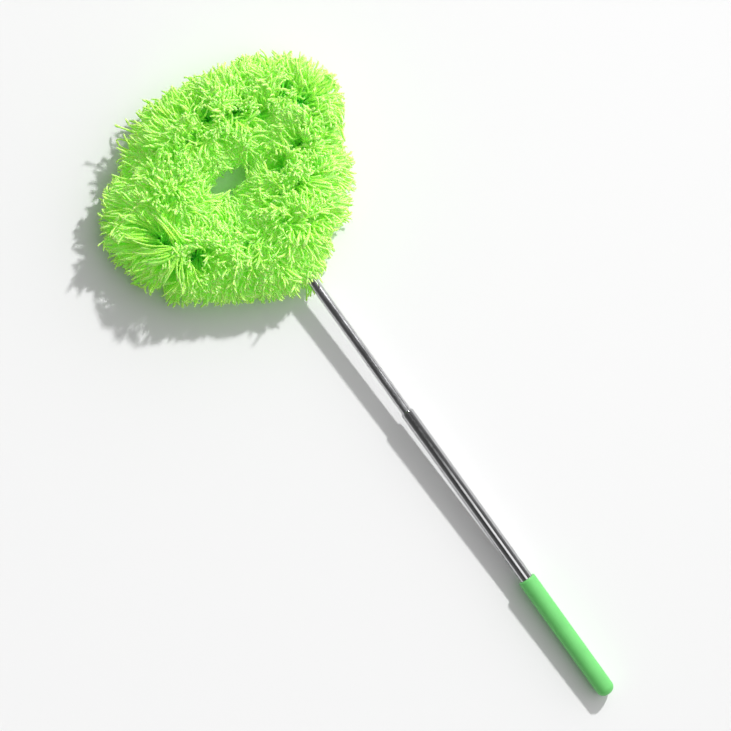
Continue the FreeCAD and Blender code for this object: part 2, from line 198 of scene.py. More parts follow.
class Recipe(Nodes):
    """A material and the nodes that make its look."""

    def __init__(self, name: str) -> None:
        """Start a material with one Principled shader.

        Args:
            name: The material's name.
        """
        self.material = bpy.data.materials.new(name)
        self.material.use_nodes = True
        super().__init__(self.material.node_tree)
        self.shader = self.tree.nodes["Principled BSDF"]
        self._place: Socket | None = None

    def place(self, stretch: Scale = EVEN) -> Socket:
        """The piece's own coordinates in metres, stretched along its axes.

        Args:
            stretch: The factor along each axis.

        Returns:
            The coordinate socket.
        """
        if self._place is None:
            self._place = self.add("TexCoord").outputs["Object"]
        mapping = self.add("Mapping")
        mapping.inputs["Scale"].default_value = stretch
        self.join(self._place, mapping.inputs["Vector"])
        return mapping.outputs["Vector"]

    def wrap(self) -> bpy.types.NodeOutputs:
        """The places round and along a soft piece, as X and Y."""
        return self.split(self.add("UVMap", uv_map="wrap").outputs["UV"])

    def noise(self, scale: float, detail: float = 3.0, rough: float = 0.5, stretch: Scale = EVEN) -> Socket:
        """Cloudy noise over the piece.

        Args:
            scale: Cells a metre.
            detail: Octaves.
            rough: Weight of the finer octaves.
            stretch: The factor along each axis.

        Returns:
            The noise value socket.
        """
        node = self.add("TexNoise")
        for name, number in (("Scale", scale), ("Detail", detail), ("Roughness", rough)):
            node.inputs[name].default_value = number
        self.join(self.place(stretch), node.inputs["Vector"])
        return node.outputs["Fac"]

    def cells(self, scale: float) -> Socket:
        """Distance to the nearest of scattered points.

        Args:
            scale: Points a metre.

        Returns:
            The distance socket.
        """
        node = self.add("TexVoronoi")
        node.inputs["Scale"].default_value = scale
        self.join(self.place(), node.inputs["Vector"])
        return node.outputs["Distance"]

    def blend(self, kind: str, amount: object, first: object, second: object) -> Socket:
        """Blend two colours.

        Args:
            kind: The blend type.
            amount: How much of the second colour, a socket or number.
            first: A colour socket or an RGB triple.
            second: A colour socket or an RGB triple.

        Returns:
            The colour socket.
        """
        node = self.add("Mix", data_type="RGBA", blend_type=kind)
        for value, number in ((amount, 0), (first, 6), (second, 7)):
            self.feed(value, node.inputs[number])
        return node.outputs[2]

    def attribute(self, name: str) -> Socket:
        """A number stored on the mesh's points."""
        return self.add("Attribute", attribute_name=name).outputs["Fac"]

    def bump(self, height: Socket, strength: float, depth: float) -> None:
        """Raise the surface by a height; calls made one after another add up.

        Args:
            height: The height socket, 0 to 1.
            strength: How much of it shows.
            depth: The height of 1 in millimetres.
        """
        node = self.add("Bump")
        node.inputs["Strength"].default_value = strength
        node.inputs["Distance"].default_value = depth * MM
        self.join(height, node.inputs["Height"])
        target = self.shader.inputs["Normal"]
        if target.links:
            self.join(target.links[0].from_socket, node.inputs["Normal"])
        self.join(node.outputs["Normal"], target)

    def colour(self, value: Socket) -> None:
        """Link the base colour."""
        self.join(value, self.shader.inputs["Base Color"])

    def painted_glow(self, value: Socket) -> None:
        """Link the colour of a painted glow: emission that stands in for light scattered through the material
        and lifts its shade.
        """
        self.join(value, self.shader.inputs["Emission Color"])

    def roughness(self, value: Socket) -> None:
        """Link the roughness."""
        self.join(value, self.shader.inputs["Roughness"])

    def gloss(self, **numbers: object) -> None:
        """Set plain numbers on the shader's sockets, named with underscores for spaces."""
        for name, value in numbers.items():
            self.shader.inputs[name.replace("_", " ")].default_value = value


# ---------------------------------------------------------------- finishes


def shade(colour: Colour, factor: float) -> Colour:
    """A colour made darker or paler by a factor."""
    return tuple(part * factor for part in colour)


class Metal(Enum):
    """The metals of the duster, with each one's colour, roughness and streak depth in millimetres."""

    CHROME = ("polished_steel", (0.62, 0.62, 0.63), 0.12, 0.010)
    DRAWN = ("drawn_steel", (0.66, 0.66, 0.67), 0.19, 0.012)
    BRASS = ("brass", (0.73, 0.52, 0.20), 0.28, 0.03)
    BRONZE = ("spring_bronze", (0.55, 0.31, 0.14), 0.30, 0.03)
    RIVET = ("rivet_steel", (0.50, 0.50, 0.49), 0.30, 0.03)
    WIRE = ("wire_steel", (0.42, 0.42, 0.41), 0.32, 0.04)


@dataclass(frozen=True)
class MetalFinish:
    """Drawn or turned metal with fine lines along the shaft."""

    metal: Metal
    lines: float = 5200.0
    smudges: float = 60.0

    def build(self) -> bpy.types.Material:
        """Make the material.

        Returns:
            The finished material.
        """
        name, colour, rough, streak = self.metal.value
        recipe = Recipe(name)
        lines = recipe.noise(self.lines, 2.0, 0.6, (0.012, 1.0, 1.0))
        smudge = recipe.noise(self.smudges, 4.0, 0.6)
        worn = recipe.ramp(lines, (0.30, shade(colour, 0.86)), (0.62, colour))
        touched = recipe.span(smudge, 0.0, 0.35, 0.45, 0.75)
        recipe.colour(recipe.blend("MULTIPLY", touched, worn, (0.86, 0.87, 0.88)))
        haze = recipe.span(smudge, rough * 0.8, rough * 1.35, 0.35, 0.7)
        recipe.roughness(recipe.reckon("ADD", haze, recipe.span(lines, 0.0, 0.05)))
        recipe.bump(lines, 0.35, streak)
        recipe.gloss(Metallic=1.0, Anisotropic=0.35, Specular_Tint=(0.40, 0.40, 0.41, 1.0))
        return recipe.material


@dataclass(frozen=True)
class GripFinish:
    """Satin moulded plastic with a fine spark-eroded grain, a little handling wear and a painted glow that
    lifts its shaded side.
    """

    colour: Colour = (0.092, 0.36, 0.092)
    worn: Colour = (0.135, 0.44, 0.135)
    grain: float = 2600.0

    def build(self) -> bpy.types.Material:
        """Make the material.

        Returns:
            The finished material.
        """
        recipe = Recipe("green_grip")
        cloud = recipe.noise(42.0, 5.0, 0.62)
        rubbed = recipe.span(recipe.add("NewGeometry").outputs["Pointiness"], 0.0, 0.8, 0.51, 0.60)
        base = recipe.ramp(cloud, (0.30, shade(self.colour, 0.93)), (0.70, shade(self.colour, 1.06)))
        dyed = recipe.blend("MIX", rubbed, base, self.worn)
        recipe.colour(dyed)
        # Painted glow: the grip's own colour is also emitted, lifting its shaded side and the floor in its
        # shadow.
        recipe.painted_glow(dyed)
        grain = recipe.noise(self.grain, 3.0, 0.7)
        rough = recipe.span(cloud, 0.42, 0.56, 0.3, 0.7)
        recipe.roughness(recipe.reckon("ADD", rough, recipe.span(grain, -0.04, 0.05)))
        recipe.bump(grain, 0.5, 0.06)
        recipe.bump(recipe.noise(110.0, 2.0), 0.25, 0.10)
        # Emission_Strength sets the strength of the grip's painted glow.
        recipe.gloss(IOR=1.46, Coat_Weight=0.06, Coat_Roughness=0.35, Emission_Strength=0.50)
        return recipe.material


@dataclass(frozen=True)
class PlainPlasticFinish:
    """Black moulded plastic with a fine grain and flow clouds."""

    colour: Colour = (0.018, 0.018, 0.019)

    def build(self) -> bpy.types.Material:
        """Make the material.

        Returns:
            The finished material.
        """
        recipe = Recipe("black_plastic")
        cloud = recipe.noise(160.0, 4.0, 0.6)
        recipe.colour(recipe.ramp(cloud, (0.3, self.colour), (0.75, shade(self.colour, 1.9))))
        grain = recipe.noise(3800.0, 2.0, 0.6)
        recipe.roughness(recipe.span(grain, 0.42, 0.62))
        recipe.bump(grain, 0.4, 0.05)
        return recipe.material


@dataclass(frozen=True)
class ClothFinish:
    """Woven backing cloth: threads across each other and uneven dye."""

    name: str
    colour: Colour
    threads: float = 1500.0

    def build(self) -> bpy.types.Material:
        """Make the material.

        Returns:
            The finished material.
        """
        recipe = Recipe(self.name)
        wrap = recipe.wrap()
        warp, weft = (
            recipe.reckon("SINE", recipe.reckon("MULTIPLY", wrap[way], self.threads)) for way in ("X", "Y")
        )
        weave = recipe.span(recipe.reckon("MULTIPLY", warp, weft), 0.0, 1.0, -1.0, 1.0)
        dye = recipe.noise(70.0, 4.0, 0.6)
        deep = recipe.ramp(dye, (0.3, shade(self.colour, 0.7)), (0.7, self.colour))
        # Painted shade: the colour is darkened in the low places between the threads.
        recipe.colour(recipe.blend("MULTIPLY", recipe.span(weave, 0.5, 0.0), deep, (0.55, 0.62, 0.5)))
        recipe.roughness(recipe.span(weave, 0.95, 0.8))
        recipe.bump(weave, 0.7, 0.25)
        recipe.bump(recipe.noise(900.0, 3.0, 0.7), 0.3, 0.2)
        recipe.gloss(Sheen_Weight=0.25, Sheen_Roughness=0.5, Sheen_Tint=(0.5, 1.0, 0.35, 1.0))
        recipe.gloss(Specular_IOR_Level=0.2)
        return recipe.material


@dataclass(frozen=True)
class FoamFinish:
    """Open-cell foam with small pores, painted darker as shade inside them."""

    colour: Colour = (0.075, 0.33, 0.04)

    def build(self) -> bpy.types.Material:
        """Make the material.

        Returns:
            The finished material.
        """
        recipe = Recipe("green_foam")
        pores = recipe.cells(1300.0)
        # Painted shade: the colour goes darker towards the middle of each pore.
        recipe.colour(recipe.ramp(pores, (0.0, shade(self.colour, 0.4)), (0.35, self.colour)))
        recipe.roughness(recipe.span(pores, 0.98, 0.85))
        recipe.bump(pores, 0.9, 0.4)
        recipe.gloss(Specular_IOR_Level=0.15)
        return recipe.material


@dataclass(frozen=True)
class YarnFinish:
    """Cut, twisted microfibre yarn: two plies, with painted shade darkening the root and the grooves between
    the plies, a painted highlight making the loose tip paler and yellower, and a painted glow.
    """

    # root is painted shade deep in the pile, and tip is a painted highlight on the loose ends.
    root: Colour = (0.055, 0.58, 0.03)
    middle: Colour = (0.42, 0.875, 0.11)
    tip: Colour = (0.52, 0.915, 0.24)
    # Tint of the yarn's painted glow, emission that lifts the shade between yarns like light scattered through
    # the pile.
    painted_glow: Colour = (0.80, 1.0, 0.60)
    twists: float = 13.0

    def build(self) -> bpy.types.Material:
        """Make the material.

        Returns:
            The finished material.
        """
        recipe = Recipe("green_yarn")
        along = recipe.attribute("along")
        tone = recipe.attribute("tone")
        # Painted shade towards the root and a painted highlight towards the tip, along each yarn.
        base = recipe.ramp(along, (0.0, self.root), (0.60, self.middle), (1.0, self.tip))
        ply = self._plies(recipe)
        fibre = recipe.noise(2600.0, 2.0, 0.7)
        # Painted shade: the colour is darkened in the grooves between the plies.
        grooves = recipe.blend("MULTIPLY", recipe.span(ply, 0.25, 0.0, 0.0, 0.6), base, (0.72, 0.85, 0.55))
        varied = recipe.add("HueSaturation")
        recipe.join(grooves, varied.inputs["Color"])
        recipe.join(recipe.span(tone, 0.485, 0.512), varied.inputs["Hue"])
        recipe.join(recipe.span(tone, 0.93, 1.04), varied.inputs["Value"])
        dyed = varied.outputs["Color"]
        recipe.colour(dyed)
        # Painted glow: the yarn's colour, tinted, is emitted to lift the shade deep in the pile.
        recipe.painted_glow(recipe.blend("MULTIPLY", 1.0, dyed, self.painted_glow))
        recipe.roughness(recipe.span(fibre, 0.75, 1.0))
        recipe.bump(ply, 0.35, 0.5)
        recipe.bump(fibre, 0.4, 0.3)
        recipe.gloss(Sheen_Weight=0.30, Sheen_Roughness=0.45, Sheen_Tint=(0.65, 1.0, 0.25, 1.0))
        # Emission_Strength sets the strength of the yarn's painted glow.
        recipe.gloss(Specular_IOR_Level=0.15, Emission_Strength=0.145)
        recipe.gloss(Subsurface_Weight=0.75, Subsurface_Radius=(1.0, 1.4, 0.5), Subsurface_Scale=0.003)
        return recipe.material

    def _plies(self, recipe: Recipe) -> Socket:
        """The twist of the yarn's two plies.

        Args:
            recipe: The yarn's material.

        Returns:
            The socket of a height that is 0 in the grooves between the plies and 1 on their backs.
        """
        wrap = recipe.wrap()
        round_yarn = recipe.reckon("MULTIPLY", wrap["X"], 2.0)
        turn = recipe.reckon("ADD", round_yarn, recipe.reckon("MULTIPLY", wrap["Y"], self.twists))
        wave = recipe.reckon("SINE", recipe.reckon("MULTIPLY", turn, math.tau))
        return recipe.span(wave, 0.0, 1.0, -1.0, 1.0)


# ---------------------------------------------------------------- mesh building


def smooth_mesh(name: str, points: np.ndarray, faces: list[np.ndarray]) -> bpy.types.Mesh:
    """A smooth-shaded mesh from arrays.

    Args:
        name: The mesh's name.
        points: Vertex places in metres, one row each.
        faces: Arrays of vertex numbers, one row a face, each array with its own number of sides.

    Returns:
        The mesh.
    """
    mesh = bpy.data.meshes.new(name)
    mesh.vertices.add(len(points))
    mesh.vertices.foreach_set("co", np.ascontiguousarray(points, np.float32).ravel())
    corners = np.concatenate([f.ravel() for f in faces]).astype(np.int32)
    sides = np.concatenate([np.full(len(f), f.shape[1], np.int32) for f in faces])
    mesh.loops.add(len(corners))
    mesh.loops.foreach_set("vertex_index", corners)
    mesh.polygons.add(len(sides))
    mesh.polygons.foreach_set("loop_start", (np.cumsum(sides) - sides).astype(np.int32))
    mesh.polygons.foreach_set("use_smooth", np.ones(len(sides), bool))
    mesh.update(calc_edges=True)
    mesh.validate()
    return mesh


def store(mesh: bpy.types.Mesh, name: str, numbers: np.ndarray) -> None:
    """Store a number on each of a mesh's points."""
    values = numbers.astype(np.float32).ravel()
    mesh.attributes.new(name, "FLOAT", "POINT").data.foreach_set("value", values)


def lay_out(mesh: bpy.types.Mesh, name: str, places: np.ndarray) -> None:
    """Store a UV place on each of a mesh's corners."""
    mesh.uv_layers.new(name=name).data.foreach_set("uv", places.astype(np.float32).ravel())


def unit(vectors: np.ndarray) -> np.ndarray:
    """Vectors brought to length one."""
    return vectors / np.maximum(np.linalg.norm(vectors, axis=-1, keepdims=True), 1e-9)


def spokes(first: np.ndarray, second: np.ndarray, sides: int) -> np.ndarray:
    """Even directions round each ring, from the first one towards the second, a quarter turn on."""
    angle = np.arange(sides) / sides * math.tau
    return np.cos(angle)[:, None] * first[..., None, :] + np.sin(angle)[:, None] * second[..., None, :]


def tube_faces(rings: int, sides: int, closed: bool = False) -> tuple[np.ndarray, np.ndarray]:
    """The four-sided faces between the rings of a tube.

    Args:
        rings: How many rings of points the tube has.
        sides: How many points each ring has.
        closed: Whether the last ring is joined to the first.

    Returns:
        The faces' vertex numbers, and the side and ring of each corner, counted on past the seams.
    """
    ring, side = np.meshgrid(np.arange(rings if closed else rings - 1), np.arange(sides), indexing="ij")
    at_side = np.stack((side, side + 1, side + 1, side), -1).reshape(-1, 4)
    at_ring = np.stack((ring, ring, ring + 1, ring + 1), -1).reshape(-1, 4)
    return at_ring % rings * sides + at_side % sides, np.stack((at_side, at_ring), -1)


def put(name: str, data: bpy.types.ID) -> bpy.types.Object:
    """Place a mesh, a light or a camera in the scene.

    Args:
        name: The name it gets there.
        data: The mesh, light or camera.

    Returns:
        The placed object.
    """
    placed = bpy.data.objects.new(name, data)
    bpy.context.scene.collection.objects.link(placed)
    return placed


def head_piece(mesh: bpy.types.Mesh, finish: bpy.types.Material, slot: str, *nodes: str) -> None:
    """Put a mesh in the scene as a piece of the head, under the mesh's own name.

    Args:
        mesh: The piece's mesh.
        finish: Its material.
        slot: The record's material slot; not used.
        *nodes: The CAD nodes that it stands for.
    """
    piece = put(mesh.name, mesh)
    mesh.materials.append(finish)
    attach(piece, HEAD)
    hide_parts(*nodes)
    LOG.info("%s: %d faces", piece.name, len(mesh.polygons))


# ---------------------------------------------------------------- the shaft's line and the head's loop


@dataclass(frozen=True)
class ShaftLine:
    """The straight line that every tube, the socket and the loop's plane follow."""

    closed_end: float
    height: float = 8.339
    slope: float = math.radians(1.3)
    neck: float = 503.0

    def at(self, along: np.ndarray, across: np.ndarray, above: np.ndarray | float = 0.0) -> np.ndarray:
        """Places in the object's frame, in millimetres.

        Args:
            along: Distance from the grip's closed end.
            across: Distance across the shaft.
            above: Distance from the shaft's plane.

        Returns:
            One row of X, Y and Z for each place.
        """
        x = self.closed_end + along * math.cos(self.slope) - above * math.sin(self.slope)
        z = self.height + along * math.sin(self.slope) + above * math.cos(self.slope)
        return np.stack(np.broadcast_arrays(x, across, z), -1)

    def axis(self) -> np.ndarray:
        """The shaft's direction towards the head."""
        return np.array((math.cos(self.slope), 0.0, math.sin(self.slope)))

    def keep_clear(self, places: np.ndarray, radius: float) -> None:
        """Push places out of the room that the tubes need when the duster is closed.

        Args:
            places: Places in millimetres, changed in place.
            radius: The radius of that room, which ends at the neck.
        """
        start, axis = self.at(np.array(0.0), np.array(0.0)), self.axis()
        along = (places - start) @ axis
        away = places - start - along[..., None] * axis
        tight = (np.linalg.norm(away, axis=-1) < radius) & (along < self.neck)
        moved = start + along[..., None] * axis + unit(away) * radius
        places[tight] = moved[tight]


@dataclass(frozen=True)
class LoopLine:
    """The covered wire's centre line, from the left of the neck round the loop to its right."""

    shaft: ShaftLine
    corners: tuple[tuple[float, float], ...] = (
        (517.0, 3.2),
        (572.0, 111.0),
        (649.5, 10.0),
        (614.0, -104.0),
        (517.0, -3.2),
    )
    bends: tuple[float, ...] = (24.0, 60.0, 24.0)
    bend_steps: int = 25
    bare: float = 14.0
    step: float = 1.5

    def _bend(
        self, before: np.ndarray, corner: np.ndarray, after: np.ndarray, radius: float
    ) -> list[np.ndarray]:
        """Round off a corner.

        Args:
            before: The corner before it.
            corner: The corner.
            after: The corner after it.
            radius: The bend's radius.

        Returns:
            The places along the bend.
        """
        back, onward = unit(before - corner), unit(after - corner)
        half = math.acos(float(back @ onward)) / 2
        middle = corner + unit(back + onward) * (radius / math.sin(half))
        first = corner + back * (radius / math.tan(half)) - middle
        last = corner + onward * (radius / math.tan(half)) - middle
        sweep = math.atan2(first[0] * last[1] - first[1] * last[0], float(first @ last))
        places = []
        for turn in np.linspace(0.0, sweep, self.bend_steps):
            c, s = math.cos(turn), math.sin(turn)
            places.append(middle + np.array((c * first[0] - s * first[1], s * first[0] + c * first[1])))
        return places

    def trace(self) -> tuple[np.ndarray, np.ndarray, np.ndarray]:
        """Follow the covered part of the loop.

        Returns:
            The length so far, the places and the unit directions, one row for each step.
        """
        corners = [np.array(c) for c in self.corners]
        corners[0] = corners[0] + unit(corners[1] - corners[0]) * self.bare
        corners[-1] = corners[-1] + unit(corners[-2] - corners[-1]) * self.bare
        line = [corners[0]]
        for before, corner, after, radius in zip(corners, corners[1:], corners[2:], self.bends):
            line += self._bend(before, corner, after, radius)
        line = np.array([*line, corners[-1]])
        lengths = np.concatenate(([0.0], np.cumsum(np.linalg.norm(np.diff(line, axis=0), axis=1))))
        even = np.linspace(0.0, lengths[-1], int(lengths[-1] / self.step) + 1)
        along, across = (np.interp(even, lengths, row) for row in line.T)
        places = self.shaft.at(along, across)
        return even, places, unit(np.gradient(places, axis=0))


# ---------------------------------------------------------------- the soft head


@dataclass(frozen=True)
class Disc:
    """One of the rounds that the pile's outline is stretched over."""

    along: float
    across: float
    radius: float


@dataclass(frozen=True)
class Lump:
    """A swell, or with a negative push a dent, in the pile's outline."""

    direction: float
    half_width: float
    push: float


@dataclass(frozen=True)
class PileOutline:
    """The pile's edge seen from above, and the hole in its middle."""

    shaft: ShaftLine
    discs: tuple[Disc, ...] = (
        Disc(484.0, -6.0, 28.0),
        Disc(592.0, -46.5, 81.0),
        Disc(605.0, 14.0, 82.0),
        Disc(585.0, 35.5, 92.0),
    )
    middle: tuple[float, float] = (579.5, 7.5)
    lumps: tuple[Lump, ...] = (
        Lump(-99.0, 14.0, -23.0),
        Lump(-125.0, 12.0, -3.0),
        Lump(-153.0, 8.0, -20.0),
        Lump(-170.0, 8.0, 38.0),
        Lump(79.0, 24.0, 12.0),
        Lump(54.0, 8.0, -6.0),
        Lump(41.0, 10.0, -7.0),
        Lump(24.0, 10.0, 14.0),
        Lump(114.0, 20.0, 6.0),
    )
    hole: tuple[tuple[float, float], tuple[float, float]] = ((588.0, -2.0), (588.0, 23.0))
    hole_radius: float = 7.5
    flare: float = 17.0
    flare_power: float = 1.9
    flare_limit: float = 1.2
    facets: int = 90
    overhang: float = 12.0
    least_room: float = 20.0
    room_to_hole: float = 8.0
    firmness: float = 0.85

    def _spot(self, along: float, across: float) -> np.ndarray:
        """A spot's X and Y in the object's frame, in millimetres."""
        return np.array((self.shaft.closed_end + along, across))

    def outside(self, flat: np.ndarray) -> tuple[np.ndarray, np.ndarray]:
        """How far places lie outside the pile's outline.

        Args:
            flat: X and Y in millimetres.

        Returns:
            The distance, negative inside, and the outward direction.
        """
        turns = np.linspace(0.0, math.tau, self.facets, endpoint=False)
        normals = np.stack((np.cos(turns), np.sin(turns)), -1)
        support = np.max([normals @ self._spot(d.along, d.across) + d.radius for d in self.discs], axis=0)
        gaps = flat @ normals.T - support
        best = gaps.argmax(-1)
        from_middle = flat - self._spot(*self.middle)
        bearing = np.degrees(np.arctan2(from_middle[..., 1], from_middle[..., 0]))
        swell = np.zeros(bearing.shape)
        for lump in self.lumps:
            turned = (bearing - lump.direction + 180.0) % 360.0 - 180.0
            swell += lump.push * np.exp(-((turned / lump.half_width) ** 2))
        return np.take_along_axis(gaps, best[..., None], -1)[..., 0] - swell, normals[best]

    def from_hole(self, flat: np.ndarray) -> tuple[np.ndarray, np.ndarray]:
        """How far places lie from the hole's middle line.

        Args:
            flat: X and Y in millimetres.

        Returns:
            The distance and the direction away from the line.
        """
        ends = [self._spot(*end) for end in self.hole]
        line = ends[1] - ends[0]
        share = np.clip((flat - ends[0]) @ line / float(line @ line), 0.0, 1.0)
        away = flat - (ends[0] + share[..., None] * line)
        return np.linalg.norm(away, axis=-1), unit(away)

    def room(self, core: np.ndarray, aside: np.ndarray, reach: float) -> tuple[np.ndarray, np.ndarray]:
        """Room for the yarns at each step of the loop.

        Args:
            core: The loop's places.
            aside: The level direction out of the loop.
            reach: How far a straight yarn's tip stands from the loop's line.

        Returns:
            The distance to the pile's outline, and the distance to the hole or the yarns across it.
        """
        out, inward = np.full(len(core), reach + self.overhang), np.full(len(core), reach)
        for distance in np.arange(reach + self.overhang, self.least_room, -1.0):
            gap, _ = self.outside(core[:, :2] + aside[:, :2] * distance)
            out = np.where(gap > 0.0, distance, out)
            near, _ = self.from_hole(core[:, :2] - aside[:, :2] * distance)
            inward = np.where(near < self.room_to_hole, distance, inward)
        return out, inward

    def hold(self, path: np.ndarray, spare: np.ndarray, rim: np.ndarray, crown: float) -> None:
        """Bring yarns inside the outline, and out of the hole's flared mouth.

        Args:
            path: The yarns' places, changed in place.
            spare: How far each yarn may pass the outline.
            rim: How much wider the hole is at each yarn.
            crown: The pile's height.
        """
        gap, normal = self.outside(path[..., :2])
        path[..., :2] -= normal * (np.maximum(gap - spare, 0.0) * self.firmness)[..., None]
        near, away = self.from_hole(path[..., :2])
        mouth = self.flare * np.clip(path[..., 2] / crown, 0.0, self.flare_limit) ** self.flare_power
        wide = self.hole_radius + rim + mouth
        path[..., :2] += away * np.maximum(wide - near, 0.0)[..., None]


@dataclass(frozen=True)
class Parting:
    """A spot where the yarns lie open or combed to one side, and may show the cloth under them."""

    x: float
    y: float
    reach: float
    push: float
    comb: tuple[float, float] = (0.0, 0.0)
    fade: float = 1.6
    spread: float = 2.0
    sink: float = 0.8
    comb_sink: float = 0.35

    def bend(self, push: np.ndarray, place: np.ndarray, on_top: np.ndarray) -> None:
        """Turn the growth of the yarns near the spot.

        Args:
            push: The turn of each yarn, changed in place.
            place: Where each yarn has got to.
            on_top: Whether each yarn is on the pile's upper side.
        """
        away = place[:, :2] - np.array((self.x, self.y))
        far = np.linalg.norm(away, axis=1)
        near = np.clip(1.0 - far / (self.fade * self.reach), 0.0, 1.0) * on_top
        opened = near * self.push
        push[:, :2] += (away / np.maximum(far, 1.0)[:, None]) * opened[:, None] * self.spread
        push[:, :2] += near[:, None] * np.array(self.comb)
        push[:, 2] -= opened * self.sink + near * math.hypot(*self.comb) * self.comb_sink


@dataclass(frozen=True)
class Strand:
    """A lock of long yarns that lies over the pile, spreading from one spot."""

    bearing: float
    length: float


@dataclass(frozen=True)
class Spray:
    """The long strands that fan out over the pile from one spot."""

    middle: tuple[float, float] = (217.0, 79.0)
    strands: tuple[Strand, ...] = (
        Strand(56.0, 41.0),
        Strand(84.0, 35.0),
        Strand(118.0, 37.0),
        Strand(148.0, 33.0),
        Strand(-6.0, 38.0),
    )
    yarns: int = 7
    depth: float = 0.52
    foot: float = 0.36
    arch: float = 33.5
    arch_span: float = 50.0
    climb: float = 5.0
    fan: float = 3.0
    sway: float = 7.0
    reaches: tuple[float, float] = (0.85, 1.08)
    stacking: float = 0.9
    width: float = 1.3
    wriggle: float = 0.5
    pace: float = 1.25

    def lay(self, path: np.ndarray, crown: float, random: np.random.Generator) -> None:
        """Comb the yarns that stand nearest the spot into its strands.

        Args:
            path: The yarns' places, changed in place.
            crown: The pile's height.
            random: The random generator.
        """
        middle = np.array((*self.middle, crown * self.depth))
        order = np.argsort(np.linalg.norm(path[:, 0] - middle, axis=1))
        share = np.linspace(0.0, 1.0, path.shape[1])
        for number, strand in enumerate(self.strands):
            chosen = order[number :: len(self.strands)][: self.yarns]
            each = (len(chosen), 1)
            scatter = random.normal(size=each) * self.fan
            bearing = np.radians(strand.bearing + scatter + self.sway * np.sin(share * 3.0 + number))
            far = strand.length * random.uniform(*self.reaches, each) * share**self.pace
            root = path[chosen, 0]
            curve = self.arch * np.sqrt(np.clip(1.0 - (far / self.arch_span) ** 2, 0.0, 1.0))
            top = crown * self.foot + curve + random.normal(size=each) * self.stacking
            rise = 1.0 - np.exp(-far / self.climb)
            spread = random.normal(size=each) * self.width
            spread = spread + np.sin(share * 9.0 + random.uniform(0.0, math.tau, each)) * self.wriggle
            path[chosen, :, 0] = root[:, :1] + np.cos(bearing) * far - np.sin(bearing) * spread * share
            path[chosen, :, 1] = root[:, 1:2] + np.sin(bearing) * far + np.cos(bearing) * spread * share
            path[chosen, :, 2] = root[:, 2:] + (top - root[:, 2:]) * rise


@dataclass(frozen=True)
class Drift:
    """A smooth wandering direction through the pile, alike for neighbouring yarns.

    Each wave is its turn for each millimetre along X, Y and Z, its start and the direction it pushes in.
    """

    waves: tuple[tuple[np.ndarray, float, np.ndarray], ...]

    @classmethod
    def draw(cls, random: np.random.Generator) -> Drift:
        """Draw the waves, in groups from broad to fine of one length in millimetres, strength and number.

        Args:
            random: The random generator.

        Returns:
            The drift.
        """
        waves = []
        for size, weight, many in ((34.0, 0.34, 10), (17.0, 0.34, 14), (9.0, 0.26, 14)):
            for _ in range(many):
                turn = unit(random.normal(size=3)) * math.tau / (size * random.uniform(0.8, 1.25))
                waves.append((turn, random.uniform(0.0, math.tau), unit(random.normal(size=3)) * weight))
        return cls(tuple(waves))

    def at(self, places: np.ndarray) -> np.ndarray:
        """The direction at each place.

        Args:
            places: Places in millimetres.

        Returns:
            One vector of about unit size for each place.
        """
        total = np.zeros_like(places)
        for turn, phase, push in self.waves:
            total += np.sin(places @ turn + phase)[..., None] * push
        return total


@dataclass(frozen=True)
class Hank:
    """The points of a group of yarns, one row a yarn."""

    tubes: np.ndarray
    tone: np.ndarray
    frays: np.ndarray
    fray_share: np.ndarray

    def pick(self, chosen: np.ndarray) -> Hank:
        """The yarns that are chosen."""
        return Hank(self.tubes[chosen], self.tone[chosen], self.frays[chosen], self.fray_share[chosen])


